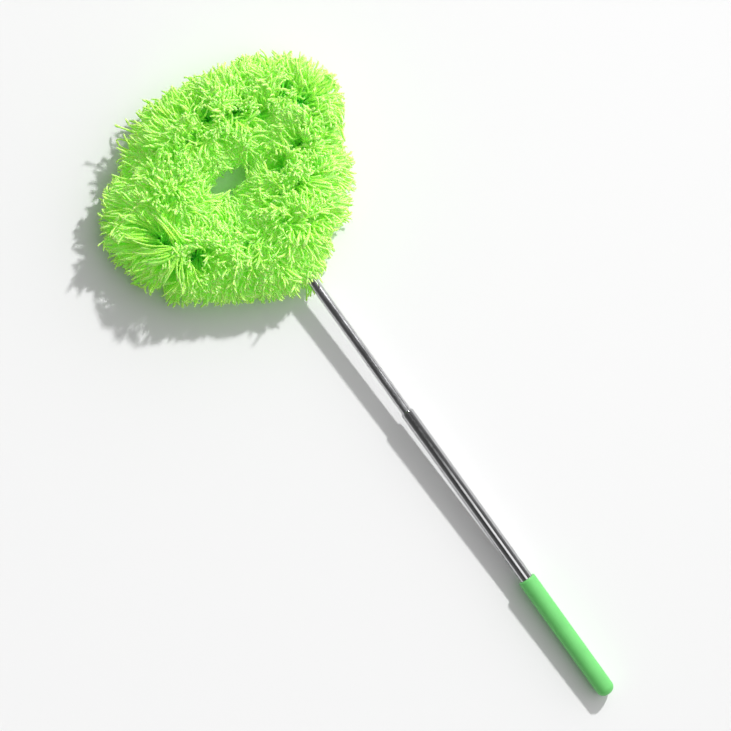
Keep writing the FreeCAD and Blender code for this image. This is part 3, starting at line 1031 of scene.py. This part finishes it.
@dataclass(frozen=True)
class Yarn:
    """A cut, twisted yarn and the fine fibres that stand off it."""

    length: float = 47.0
    thickness: float = 1.8
    rings: int = 11
    sides: int = 4
    girth_marks: tuple[float, ...] = (0.0, 0.15, 0.8, 0.95, 1.0)
    girths: tuple[float, ...] = (0.8, 0.95, 1.05, 1.12, 0.80)
    crowding: float = 0.8
    unevenness: float = 0.10
    twists: float = 1.7
    lobe: float = 0.22
    tone_spread: float = 0.22
    fibres: int = 6
    fibre_radius: float = 0.17
    fibre_foot: float = 0.36
    fibre_lengths: tuple[float, float] = (2.2, 5.2)
    fibre_span: tuple[float, float] = (0.35, 1.0)
    fibre_lean: tuple[float, float] = (0.2, 1.2)
    fibre_scatter: float = 0.35
    cell_shape: float = 5.0
    cell_margin: float = 0.06
    cell_fill: float = 0.88

    def marks(self) -> np.ndarray:
        """Shares along a yarn where its rings stand, closer together towards the tip."""
        return np.linspace(0.0, 1.0, self.rings) ** self.crowding

    def tubes(self, path: np.ndarray, random: np.random.Generator) -> tuple[np.ndarray, np.ndarray]:
        """Wrap the yarns' places in lumpy, twisted tubes.

        Args:
            path: The yarns' places.
            random: The random generator.

        Returns:
            The tubes' points (yarn, ring, side, XYZ) and each yarn's tone.
        """
        count = len(path)
        ahead = unit(np.gradient(path, axis=1))
        across = unit(random.normal(size=(count, 1, 3)) + 0.2)
        first = unit(np.cross(ahead, across))
        second = np.cross(ahead, first)
        share = self.marks()
        angle = np.arange(self.sides) / self.sides * math.tau
        girth = np.interp(share, self.girth_marks, self.girths)
        girth = girth * np.clip(random.normal(1.0, self.unevenness, (count, self.rings)), 0.7, 1.3)
        girth = girth * np.clip(random.normal(1.0, self.unevenness, (count, 1)), 0.75, 1.3) * self.thickness / 2
        spin = random.uniform(0.0, math.tau, (count, 1, 1)) + share[None, :, None] * math.tau * self.twists
        wide = girth[..., None] * (1.0 + self.lobe * np.cos(2.0 * (angle[None, None, :] - spin)))
        tone = np.clip(random.normal(0.5, self.tone_spread, count), 0.0, 1.0)
        return path[:, :, None, :] + spokes(first, second, self.sides) * wide[..., None], tone

    def frays(self, path: np.ndarray, random: np.random.Generator) -> tuple[np.ndarray, np.ndarray]:
        """Fine loose fibres that stand off the yarns.

        Args:
            path: The yarns' places.
            random: The random generator.

        Returns:
            The fibres' points (yarn, fibre, three at the foot and one at the tip, XYZ), and each one's
            share along its yarn.
        """
        each = (len(path), self.fibres)
        share = random.uniform(*self.fibre_span, each)
        marks = self.marks()
        below = np.clip(np.searchsorted(marks, share) - 1, 0, self.rings - 2)
        part = (share - marks[below]) / (marks[below + 1] - marks[below])
        yarn = np.arange(len(path))[:, None]
        low, high = path[yarn, below], path[yarn, below + 1]
        ahead = unit(high - low)
        foot = low + (high - low) * part[..., None]
        off = unit(np.cross(ahead, random.normal(size=foot.shape)))
        foot = foot + off * self.thickness * self.fibre_foot
        forward = ahead * random.uniform(*self.fibre_lean, (*each, 1))
        way = unit(off * 0.9 + forward + random.normal(size=foot.shape) * self.fibre_scatter)
        tip = foot + way * random.uniform(*self.fibre_lengths, (*each, 1))
        first = unit(np.cross(way, ahead + 0.3 * off))
        ring = spokes(first, np.cross(way, first), 3)
        points = np.concatenate((foot[:, :, None, :] + ring * self.fibre_radius, tip[:, :, None, :]), 2)
        return points, share

    def mesh(self, name: str, hank: Hank) -> bpy.types.Mesh:
        """One mesh for a group of yarns.

        Args:
            name: The mesh's name.
            hank: The group's points.

        Returns:
            The mesh, with each point's share along its yarn and tone, and the places round and along it.
        """
        count, many, each = len(hank.tubes), self.fibres, self.rings * self.sides
        share = self.marks()
        walls, corners = tube_faces(self.rings, self.sides)
        start = np.arange(count)[:, None] * each
        roots = start + np.arange(self.sides)[::-1]
        tips = start + each - self.sides + np.arange(self.sides)
        feet = count * each + np.arange(count * many)[:, None, None] * 4
        spikes = (feet + np.array(((0, 1, 3), (1, 2, 3), (2, 0, 3), (2, 1, 0)))).reshape(-1, 3)
        places = np.concatenate((hank.tubes.reshape(-1, 3), hank.frays.reshape(-1, 3))) * MM
        mesh = smooth_mesh(name, places, [(start[..., None] + walls).reshape(-1, 4), roots, tips, spikes])
        along = np.broadcast_to(share[None, :, None], (count, self.rings, self.sides)).ravel()
        store(mesh, "along", np.concatenate((along, np.repeat(hank.fray_share.ravel(), 4))))
        store(mesh, "tone", np.concatenate((np.repeat(hank.tone, each), np.repeat(hank.tone, many * 4))))
        lid = (np.arange(self.sides) + 0.5) / self.sides
        wall_uv = np.stack((corners[..., 0] / self.sides, share[corners[..., 1]]), -1).reshape(-1, 2)
        root_uv = np.stack((lid[::-1], np.zeros(self.sides)), -1)
        tip_uv = np.stack((lid, np.ones(self.sides)), -1)
        fray_uv = np.stack((np.full(count * many * 12, 0.5), np.repeat(hank.fray_share.ravel(), 12)), -1)
        wrap = np.concatenate([np.tile(uv, (count, 1)) for uv in (wall_uv, root_uv, tip_uv)] + [fray_uv])
        lay_out(mesh, "wrap", wrap)
        corner_counts = (len(wall_uv), self.sides, self.sides, many * 12)
        owner = np.concatenate([np.repeat(np.arange(count), corners) for corners in corner_counts])
        lay_out(mesh, "OFBake", self._own_cells(wrap, owner, count))
        return mesh

    def _own_cells(self, wrap: np.ndarray, owner: np.ndarray, count: int) -> np.ndarray:
        """Unwrapped places where every yarn has a cell of its own.

        Args:
            wrap: The places round and along the yarns, 0 to 1.
            owner: The yarn that each place is on.
            count: How many yarns there are.

        Returns:
            The places in the cells.
        """
        columns = math.ceil(math.sqrt(count * self.cell_shape))
        rows = math.ceil(count / columns)
        cell = np.stack((owner % columns, owner // columns), -1)
        return (cell + self.cell_margin + wrap * self.cell_fill) / np.array((columns, rows))


@dataclass(frozen=True)
class Feet:
    """Where the yarns stand in the cloth sleeve, one row a yarn.

    "past_end" is the length along the loop counted from its end, and "share" the place round it from 0 to 1.
    "turn" is the angle round the sleeve, "lean" the angle over the loop's end. "core" is the loop's place,
    "ahead" its direction, "aside" the level direction out of it, and "out" and "inward" the room each way.
    """

    past_end: np.ndarray
    share: np.ndarray
    turn: np.ndarray
    lean: np.ndarray
    core: np.ndarray
    ahead: np.ndarray
    aside: np.ndarray
    out: np.ndarray
    inward: np.ndarray

    def off_sleeve(self) -> np.ndarray:
        """The direction straight off the sleeve at each foot."""
        return np.cos(self.turn)[:, None] * self.aside + np.sin(self.turn)[:, None] * UP


@dataclass(frozen=True)
class YarnPile:
    """The ring of cut, twisted yarns tufted into the cloth sleeve."""

    loop: LoopLine
    yarn: Yarn = Yarn()
    spray: Spray = Spray()
    partings: tuple[Parting, ...] = (
        Parting(204.0, 73.0, 7.0, 2.0),
        Parting(228.0, 90.0, 7.0, 2.1),
        Parting(207.0, 93.0, 7.0, 1.9),
        Parting(240.0, 104.0, 14.0, 0.1, (1.6, 2.2)),
        Parting(222.0, 112.0, 14.0, 0.1, (0.4, 2.2)),
        Parting(246.0, 76.0, 14.0, 0.1, (2.4, -0.4)),
        Parting(300.0, -8.0, 6.0, 1.2),
        Parting(288.0, -33.0, 5.0, 1.2),
        Parting(281.0, -81.0, 6.0, 1.5),
        Parting(264.0, -86.0, 5.0, 1.5),
        Parting(234.0, -57.0, 7.0, 2.0),
        Parting(227.0, -37.0, 8.0, 2.2),
        Parting(272.0, -44.0, 9.0, 1.5),
        Parting(262.0, -35.0, 9.0, 1.9),
        Parting(251.0, -25.0, 9.0, 1.9),
        Parting(241.0, -14.0, 8.0, 1.5),
    )
    count: int = 15500
    sleeve: float = 9.4
    crown: float = 58.0
    table_gap: float = 1.25
    end_cap: float = 30.0
    end_lean: float = 85.0
    foot_scatter: float = 0.03
    aim_scatter: float = 0.16
    length_spread: float = 0.07
    length_limits: tuple[float, float] = (0.72, 1.12)
    top_trim: float = 0.22
    neck_growth: float = 0.40
    neck_start: float = 25.0
    neck_run: float = 45.0
    relief: float = 0.25
    relief_limits: tuple[float, float] = (-1.0, 0.6)
    relief_depth: float = 36.0
    relief_breadth: float = 0.45
    clumping: float = 1.1
    foot_clumping: float = 0.35
    straying: float = 0.6
    curl: float = 2.8
    curl_turns: tuple[float, float] = (2.0, 4.0)
    droop: float = 0.35
    bend_rate: float = 1.6
    locks: int = 2400
    gather: float = 0.75
    loose_foot: float = 0.25
    loose_room: float = 1.13
    hole_overlap: float = 5.0
    crown_share: float = 0.82
    edge_spread: tuple[float, float] = (-3.0, 5.5)
    rim_mean: float = -1.2
    rim_spread: float = 2.8
    least_round: float = 0.06
    stray_share: float = 0.015
    stray_reach: float = 3.5
    hole_clear: float = 4.2
    shaft_clear: float = 6.7
    fray_clear: float = 6.45
    seed: int = 11
    pieces: tuple[str, ...] = (
        "neck_left",
        "left_leg",
        "left_bend",
        "left_far",
        "far_left",
        "far_right",
        "right_far",
        "right_bend",
        "right_leg",
        "neck_right",
    )

    @property
    def outline(self) -> PileOutline:
        """The pile's edge and hole."""
        return PileOutline(self.loop.shaft)

    @property
    def reach(self) -> float:
        """How far a straight yarn's tip stands from the loop's line."""
        return self.yarn.length + self.sleeve

    def grow(self) -> tuple[np.ndarray, np.ndarray, np.random.Generator]:
        """Grow every yarn from the cloth.

        Returns:
            The yarns' places (yarn, ring, XYZ) in millimetres, each yarn's place round the loop from 0 to 1,
            and the random generator for what follows.
        """
        random = np.random.default_rng(self.seed)
        drift = Drift.draw(random)
        feet = self._plant(random)
        path = self._gather(self._shoot(feet, drift, random), random)
        path = self._settle(path, feet, random)
        self.spray.lay(path, self.crown, random)
        near, _ = self.outline.from_hole((path[:, 1:, :2] + path[:, :-1, :2]) / 2)
        kept = (near > self.hole_clear).all(1)
        return path[kept], feet.share[kept], random

    def _plant(self, random: np.random.Generator) -> Feet:
        """Set the yarns' feet in even rows round the sleeve and past its ends.

        Args:
            random: The random generator.

        Returns:
            The feet.
        """
        lengths, line, ahead = self.loop.trace()
        count, total, cap = self.count, lengths[-1], self.end_cap
        run = (np.arange(count) + random.random(count)) / count * (total + 2 * cap) - cap
        scatter = random.normal(size=count) * self.foot_scatter
        turn = np.mod(np.arange(count) * GOLDEN_SHARE + scatter, 1.0) * math.tau
        held = np.clip(run, 0.0, total)
        core = np.stack([np.interp(held, lengths, row) for row in line.T], -1)
        tangent = unit(np.stack([np.interp(held, lengths, row) for row in ahead.T], -1))
        outward = math.copysign(1.0, float(((line - line.mean(0)) * np.cross(ahead, UP)).sum()))
        room = self.outline.room(line, unit(np.cross(ahead, UP)) * outward, self.reach)
        out, inward = (np.interp(held, lengths, distance) for distance in room)
        lean = np.radians(self.end_lean) * (run - held) / cap
        share = (run + cap) / (total + 2 * cap)
        aside = unit(np.cross(tangent, UP)) * outward
        return Feet(run - total, share, turn, lean, core, tangent, aside, out, inward)

    def _lengths(self, feet: Feet, drift: Drift, random: np.random.Generator) -> np.ndarray:
        """Each yarn's length: shorter on top, longer at the neck's right, and in soft hills and dips.

        Args:
            feet: The yarns' feet.
            drift: The pile's drift.
            random: The random generator.

        Returns:
            The lengths.
        """
        cut = np.clip(random.normal(1.0, self.length_spread, self.count), *self.length_limits)
        length = self.yarn.length * cut * (1.0 - self.top_trim * np.maximum(np.sin(feet.turn), 0.0))
        near_neck = np.clip((feet.past_end + self.neck_start) / self.neck_run, 0.0, 1.0)
        length = length * (1.0 + self.neck_growth * near_neck)
        ground = feet.core + feet.off_sleeve() * self.relief_depth
        hills = np.clip(drift.at(ground * self.relief_breadth)[:, 2], *self.relief_limits)
        return length * (1.0 + self.relief * hills)

    def _shoot(self, feet: Feet, drift: Drift, random: np.random.Generator) -> np.ndarray:
        """Grow the yarns freely, ring by ring.

        Args:
            feet: The yarns' feet.
            drift: The pile's drift.
            random: The random generator.

        Returns:
            The free yarns' places.
        """
        vectors = (self.count, 3)
        straight = feet.off_sleeve()
        heading = np.cos(feet.lean)[:, None] * straight + np.sin(feet.lean)[:, None] * feet.ahead
        heading = unit(heading + random.normal(size=vectors) * self.aim_scatter)
        place = feet.core + straight * self.sleeve
        stray = random.normal(size=vectors) * self.straying
        length = self._lengths(feet, drift, random)
        side_a = unit(np.cross(heading, random.normal(size=vectors)))
        side_b = np.cross(heading, side_a)
        phase, turns = (random.uniform(*limits, self.count) for limits in ((0.0, math.tau), self.curl_turns))
        marks = self.yarn.marks()
        path = [place]
        for before, after in zip(marks, marks[1:]):
            share, step = (before + after) / 2, after - before
            swing = phase + turns * math.tau * share
            push = self.clumping * drift.at(place) * (self.foot_clumping + share) + stray * share
            push = push + self.curl * (np.cos(swing)[:, None] * side_a + np.sin(swing)[:, None] * side_b)
            push[:, 2] -= self.droop * share
            for parting in self.partings:
                parting.bend(push, place, place[:, 2] > feet.core[:, 2])
            heading = unit(heading + push * step * self.bend_rate)
            place = place + heading * (length * step)[:, None]
            path.append(place)
        return np.stack(path, 1)

    def _gather(self, path: np.ndarray, random: np.random.Generator) -> np.ndarray:
        """Draw neighbouring yarns together into loose locks.

        Args:
            path: The yarns' places.
            random: The random generator.

        Returns:
            The gathered places.
        """
        leaders = random.choice(len(path), self.locks, replace=False)
        low = path[:, 3]
        heads = low[leaders]
        far = (low**2).sum(1)[:, None] - 2.0 * low @ heads.T + (heads**2).sum(1)[None, :]
        nearest = far.argmin(1)
        pull = self.gather * random.random(self.locks)[nearest] * random.uniform(0.5, 1.0, len(path))
        share = pull[:, None] * np.clip(self.yarn.marks() - self.loose_foot, 0.0, 1.0)[None, :]
        return path + share[..., None] * (path[leaders[nearest]] - path)

    def _press(self, path: np.ndarray, feet: Feet) -> np.ndarray:
        """Bring the free yarns to the pile's real width and height.

        Args:
            path: The free yarns' places.
            feet: The yarns' feet.

        Returns:
            The pressed places.
        """
        core, reach = feet.core, self.reach
        offset = path - core[:, None, :]
        level = np.einsum("nkc,nc->nk", offset, feet.aside)
        inward = np.minimum(feet.inward + self.hole_overlap, reach)
        room = np.where(level > 0, (self.loose_room * feet.out / reach)[:, None], (inward / reach)[:, None])
        past = np.clip((np.abs(level) - self.sleeve) / self.yarn.length, 0.0, 1.0)
        fitted = level * (1.0 + (room - 1.0) * past)
        offset = offset + (fitted - level)[..., None] * feet.aside[:, None, :]
        rise = offset[..., 2]
        above = (self.crown - core[:, 2]) / (self.sleeve + self.crown_share * self.yarn.length)
        below = (core[:, 2] - self.table_gap - 1.0) / reach
        squeeze = np.where(rise > 0, above[:, None], below[:, None])
        firm = np.minimum(np.abs(rise), self.sleeve)
        pressed = firm + (np.abs(rise) - firm) * ((squeeze * reach - self.sleeve) / self.yarn.length)
        rounded = np.sqrt(np.clip(1.0 - (fitted / (reach + 2.0)) ** 2, self.least_round, 1.0))
        pressed = np.where(rise > 0, pressed * rounded, pressed)
        offset[..., 2] = np.where(np.abs(rise) < self.sleeve, rise, np.sign(rise) * pressed)
        return core[:, None, :] + offset

    def _settle(self, path: np.ndarray, feet: Feet, random: np.random.Generator) -> np.ndarray:
        """Bring the free yarns to the pile's real width and height, outline and hole.

        Args:
            path: The free yarns' places.
            feet: The yarns' feet.
            random: The random generator.

        Returns:
            The settled places.
        """
        path = self._press(path, feet)
        spare = random.uniform(*self.edge_spread, len(path))[:, None]
        spare = spare + self.stray_reach * (random.random(len(path)) < self.stray_share)[:, None]
        rim = random.normal(self.rim_mean, self.rim_spread, len(path))[:, None]
        for _ in range(2):
            self.outline.hold(path, spare, rim, self.crown)
            path[:, 1:-1] = 0.25 * path[:, :-2] + 0.5 * path[:, 1:-1] + 0.25 * path[:, 2:]
        self.loop.shaft.keep_clear(path, self.shaft_clear + self.yarn.thickness / 2)
        floor = self.table_gap + random.uniform(0.0, 1.2, len(path))[:, None]
        path[..., 2] = np.clip(path[..., 2], floor, self.crown + 1.0)
        return path

    def build(self, finish: bpy.types.Material) -> None:
        """Build the pile in pieces round the loop.

        Args:
            finish: The yarn's material.
        """
        path, share, random = self.grow()
        tubes, tone = self.yarn.tubes(path, random)
        frays, fray_share = self.yarn.frays(path, random)
        self.loop.shaft.keep_clear(frays, self.fray_clear)
        frays[..., 2] = np.clip(frays[..., 2], 0.25, self.crown + 2.5)
        hank = Hank(tubes, tone, frays, fray_share)
        group = np.minimum((share * len(self.pieces)).astype(int), len(self.pieces) - 1)
        for number, name in enumerate(self.pieces):
            mesh = self.yarn.mesh("yarn_" + name, hank.pick(group == number))
            head_piece(mesh, finish, "green_yarn", "yarn_pile")


@dataclass(frozen=True)
class Sleeve:
    """A soft tube round the loop's line, such as the foam or the cloth."""

    loop: LoopLine
    name: str
    node: str
    slot: str
    radius: float
    bore: float
    puckers: float
    waves: int
    sides: int = 40

    def build(self, finish: bpy.types.Material) -> None:
        """Build the sleeve with its outer and inner walls and its two ends.

        Args:
            finish: The sleeve's material.
        """
        lengths, line, ahead = self.loop.trace()
        steps, sides = len(line), self.sides
        ring = spokes(unit(np.cross(ahead, UP)), UP, sides)
        angle = np.arange(sides) / sides * math.tau
        folds = np.sin(lengths[:, None] * 0.9 + 2.0 * np.sin(angle * 3.0))
        ripple = folds * np.cos(angle * self.waves + lengths[:, None] * 0.35)
        outer = self.radius - self.puckers + self.puckers * ripple
        walls = [line[:, None, :] + ring * wide[..., None] for wide in (outer, np.full_like(outer, self.bore))]
        points = np.concatenate([wall.reshape(-1, 3) for wall in walls]) * MM
        outside, corners = (np.roll(rows[:, ::-1], 1, axis=1) for rows in tube_faces(steps, sides))
        inside = outside[:, ::-1] + steps * sides
        one, two = np.arange(sides), (np.arange(sides) + 1) % sides
        last = (steps - 1) * sides
        start = np.stack((one, two, two + steps * sides, one + steps * sides), -1)
        end = last + start[:, [1, 0, 3, 2]]
        mesh = smooth_mesh(self.name, points, [outside, inside, start, end])
        across = corners[..., 0] / sides * math.tau * self.radius
        wall_uv = np.stack((across, lengths[corners[..., 1]]), -1)
        lids = np.zeros((2 * sides, 4, 2))
        lay_out(mesh, "wrap", np.concatenate((wall_uv, wall_uv[:, ::-1], lids)).reshape(-1, 2) * MM)
        head_piece(mesh, finish, self.slot, self.node)


@dataclass(frozen=True)
class NeckBinding:
    """The gathered cloth band that closes the sleeve on the collar."""

    shaft: ShaftLine
    start: float = 502.0
    length: float = 8.0
    radius: float = 7.8
    bore: float = 6.05
    gathers: int = 26
    gather_depth: float = 0.32
    thread_width: float = 0.10
    edge: float = 0.25
    thread_depth: float = 0.25
    rows: int = 13
    sides: int = 208

    def build(self, finish: bpy.types.Material) -> None:
        """Build the band with its gathers and rolled edges.

        Args:
            finish: The binding's material.
        """
        share = np.linspace(0.0, 1.0, self.rows)
        angle = np.arange(self.sides) / self.sides * math.tau
        fold = 0.5 + 0.5 * np.cos(angle * self.gathers + 0.6 * np.sin(angle * 5.0))
        roll = np.sqrt(np.clip(1.0 - (2.0 * share - 1.0) ** 6, 0.0, 1.0))
        deep = self.gather_depth * (1.0 - 0.5 * np.exp(-(((share - 0.5) / 0.12) ** 2)))
        hem = self.bore + self.edge
        outer = hem + (self.radius - self.bore - self.edge) * roll[:, None]
        outer = outer - deep[:, None] * fold[None, :] * roll[:, None]
        thread = np.exp(-(((share - 0.5) / self.thread_width) ** 2))
        outer = outer - self.thread_depth * thread[:, None]
        inner = np.full_like(outer, self.bore)
        across = np.array((0.0, 1.0, 0.0))
        middle = self.shaft.at(self.start + share * self.length, np.zeros(len(share)))
        profile = np.concatenate((outer, inner[::-1]))
        centre = np.concatenate((middle, middle[::-1]))
        ring = spokes(across, np.cross(self.shaft.axis(), across), self.sides)
        points = centre[:, None, :] + ring[None] * profile[..., None]
        faces, corners = tube_faces(len(profile), self.sides, closed=True)
        mesh = smooth_mesh("neck_band", points.reshape(-1, 3) * MM, [faces])
        u = corners[..., 0] / self.sides * math.tau * self.radius
        v = corners[..., 1] / len(profile) * 2.0 * self.length
        lay_out(mesh, "wrap", np.stack((u, v), -1).reshape(-1, 2) * MM)
        head_piece(mesh, finish, "green_binding", "neck_binding")


@dataclass(frozen=True)
class Head:
    """The soft pieces of the ring at the end of the shaft: pile, cloth, foam and binding."""

    shaft: ShaftLine

    def build(self) -> None:
        """Build the soft pieces."""
        loop = LoopLine(self.shaft)
        cloth = ClothFinish("green_backing", (0.030, 0.42, 0.022))
        binding = ClothFinish("green_binding", (0.09, 0.52, 0.03))
        foam = FoamFinish()
        YarnPile(loop).build(YarnFinish().build())
        sleeve = Sleeve(loop, "cloth_sleeve", "backing_sleeve", "green_backing", 10.0, 8.75, 0.35, 5)
        sleeve.build(cloth.build())
        tube = Sleeve(loop, "foam_tube", "foam_sleeve", "green_foam", 8.55, 1.7, 0.10, 7)
        tube.build(foam.build())
        NeckBinding(self.shaft).build(binding.build())


@dataclass(frozen=True)
class Fittings:
    """The hard pieces, which keep their CAD shapes."""

    nodes: dict[str, bpy.types.Object]

    def dress(self) -> None:
        """Give every hard piece its finish."""
        chrome = MetalFinish(Metal.CHROME).build()
        brass = MetalFinish(Metal.BRASS).build()
        bronze = MetalFinish(Metal.BRONZE).build()
        black = PlainPlasticFinish().build()
        finishes = {
            "grip_sleeve": GripFinish().build(),
            "outer_tube": chrome,
            "middle_tube": chrome,
            "inner_tube": MetalFinish(Metal.DRAWN).build(),
            "outer_plug": black,
            "head_socket": black,
            "middle_bush": brass,
            "inner_bush": brass,
            "middle_friction_ring": bronze,
            "inner_friction_ring": bronze,
            "socket_rivet": MetalFinish(Metal.RIVET).build(),
            "loop_wire": MetalFinish(Metal.WIRE).build(),
        }
        for name, finish in finishes.items():
            for slot in self.nodes[name].material_slots:
                slot.material = finish
            LOG.info("%s: %s", name, finish.name)


# ---------------------------------------------------------------- floor, light and camera


def grey(level: float) -> Colour:
    """A grey of one level."""
    return (level, level, level)


@dataclass(frozen=True)
class Studio:
    """A pale floor, one lamp whose shadows spread, a side fill and a camera straight above.

    The lamp's and the panel's places and sizes are in metres, the camera's in millimetres.
    """

    low: Vector
    aim: tuple[float, float, float] = (377.4, 5.9, 18.0)
    seen: float = 672.0
    distance: float = 1800.0
    picture_up: tuple[float, float] = (0.812, -0.583)
    film: float = 36.0
    floor_size: float = 60.0
    floor_tones: tuple[float, float] = (0.72, 0.83)
    lamp_place: tuple[float, float, float] = (0.592, -1.53, 1.167)
    lamp_radius: float = 0.056
    lamp_power: float = 41.5
    fill_side: float = 2.3
    fill_even: float = 0.03
    fill_power: float = 3.0
    pale: float = 0.9
    room: tuple[tuple[float, float], ...] = ((0.0, 0.32), (0.35, 0.16), (0.80, 0.07))
    panel_place: tuple[float, float, float] = (-0.70, -0.25, 1.9)
    panel_size: tuple[float, float] = (0.75, 1.3)
    panel_power: float = 4.2

    def build(self) -> None:
        """Build the floor, the lights and the camera."""
        self._floor()
        self._lamp()
        self._panel()
        self._sky()
        self._camera()

    def _floor(self) -> None:
        """A wide matte floor just under the object, painted a little darker on the lamp's side as painted shade
        that evens out the stronger light there.
        """
        bpy.ops.mesh.primitive_plane_add(size=self.floor_size, location=(0.0, 0.0, 0.0))
        floor = bpy.context.object
        floor.name = "floor"
        recipe = Recipe("pale_floor")
        cloud = recipe.span(recipe.noise(1.6, 3.0), -0.05, 0.05)
        across = recipe.span(recipe.split(recipe.place())["Y"], 0.0, 1.0, -0.5, 0.5)
        near, far = (grey(tone) for tone in self.floor_tones)
        # Painted shade: darker towards the lamp's side to offset its stronger light, with a faint random cloud.
        recipe.colour(recipe.ramp(recipe.reckon("ADD", across, cloud), (0.0, near), (1.0, far)))
        recipe.gloss(Roughness=0.9, Specular_IOR_Level=0.2)
        floor.data.materials.append(recipe.material)
        floor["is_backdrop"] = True

    def _lamp(self) -> None:
        """The main light, close enough for shadows to spread, yet as strong all over the floor."""
        light = bpy.data.lights.new("lamp", "POINT")
        light.energy = self.lamp_power
        light.shadow_soft_size = self.lamp_radius
        light.use_nodes = True
        nodes = Nodes(light.node_tree)
        even = nodes.add("LightFalloff")
        even.inputs["Strength"].default_value = 1.0
        nodes.join(even.outputs["Constant"], light.node_tree.nodes["Emission"].inputs["Strength"])
        put("lamp", light).location = self.lamp_place

    def _panel(self) -> None:
        """A soft panel above the grip, seen as a pale stripe along the outer tube."""
        light = bpy.data.lights.new("panel", "AREA")
        light.shape = "RECTANGLE"
        light.size, light.size_y = self.panel_size
        light.energy = self.panel_power
        put("panel", light).location = self.panel_place

    def _sky(self) -> None:
        """The light from all round, which depends on what it falls on.

        Matte surfaces are filled mostly from the lamp's side, the steel mirrors a dim room that is paler
        towards its walls, and past the floor's edge there is one pale tone.
        """
        world = bpy.data.worlds.new("room")
        world.use_nodes = True
        bpy.context.scene.world = world
        nodes = Nodes(world.node_tree)
        facing = nodes.split(nodes.add("TexCoord").outputs["Generated"])
        sideways = nodes.reckon("POWER", nodes.span(facing["Y"], 1.0, 0.0, -1.0, 1.0), self.fill_power)
        fill = nodes.reckon("MULTIPLY_ADD", sideways, self.fill_side, self.fill_even)
        walls = nodes.ramp(facing["Z"], *((height, grey(level)) for height, level in self.room))
        rays = nodes.add("LightPath").outputs
        light = self._glow(nodes, grey(1.0), fill)
        light = self._swap(nodes, rays["Is Glossy Ray"], light, self._glow(nodes, walls, 1.0))
        light = self._swap(nodes, rays["Is Camera Ray"], light, self._glow(nodes, grey(self.pale), 1.0))
        nodes.join(light, world.node_tree.nodes["World Output"].inputs["Surface"])
        world.node_tree.nodes.remove(world.node_tree.nodes["Background"])

    def _glow(self, nodes: Nodes, colour: Socket | Colour, strength: Socket | float) -> Socket:
        """Light of one colour and strength.

        Args:
            nodes: The world's nodes.
            colour: A colour socket or an RGB triple.
            strength: A socket or a number.

        Returns:
            The shader socket.
        """
        node = nodes.add("Background")
        nodes.feed(colour, node.inputs["Color"])
        nodes.feed(strength, node.inputs["Strength"])
        return node.outputs["Background"]

    def _swap(self, nodes: Nodes, which: Socket, usual: Socket, other: Socket) -> Socket:
        """Two lights, of which one kind of ray sees the other one.

        Args:
            nodes: The world's nodes.
            which: The kind of ray.
            usual: The light for all other rays.
            other: The light for that kind of ray.

        Returns:
            The shader socket.
        """
        node = nodes.add("MixShader")
        for source, target in zip((which, usual, other), node.inputs):
            nodes.join(source, target)
        return node.outputs["Shader"]

    def _camera(self) -> None:
        """A long lens straight above the middle of the duster."""
        camera = bpy.data.cameras.new("camera")
        camera.sensor_width = self.film
        camera.lens = camera.sensor_width * self.distance / self.seen
        camera.clip_end = 20.0
        along, across, height = self.aim
        centre = Vector((self.low.x + along * MM, across * MM, (height + self.distance) * MM))
        up = Vector((*self.picture_up, 0.0)).normalized()
        back = Vector(UP)
        turned = Matrix((up.cross(back), up, back)).transposed().to_4x4()
        place = put("camera", camera)
        place.matrix_world = Matrix.Translation(centre) @ turned
        bpy.context.scene.camera = place


def corners(box: tuple[Vector, Vector]) -> list[list[float]]:
    """A box as plain lists."""
    return [list(corner) for corner in box]


def main() -> None:
    """Build the duster round its CAD frame."""
    logging.basicConfig(level=logging.INFO, format="%(message)s")
    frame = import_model()
    cad_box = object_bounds()
    scene = bpy.context.scene
    scene.view_settings.view_transform = "Standard"
    scene.cycles.max_bounces = 20
    scene.cycles.diffuse_bounces = 14
    shaft = ShaftLine(cad_box[0].x / MM)
    Fittings(frame["nodes"]).dress()
    Head(shaft).build()
    Studio(cad_box[0]).build()


if __name__ == "__main__":
    main()
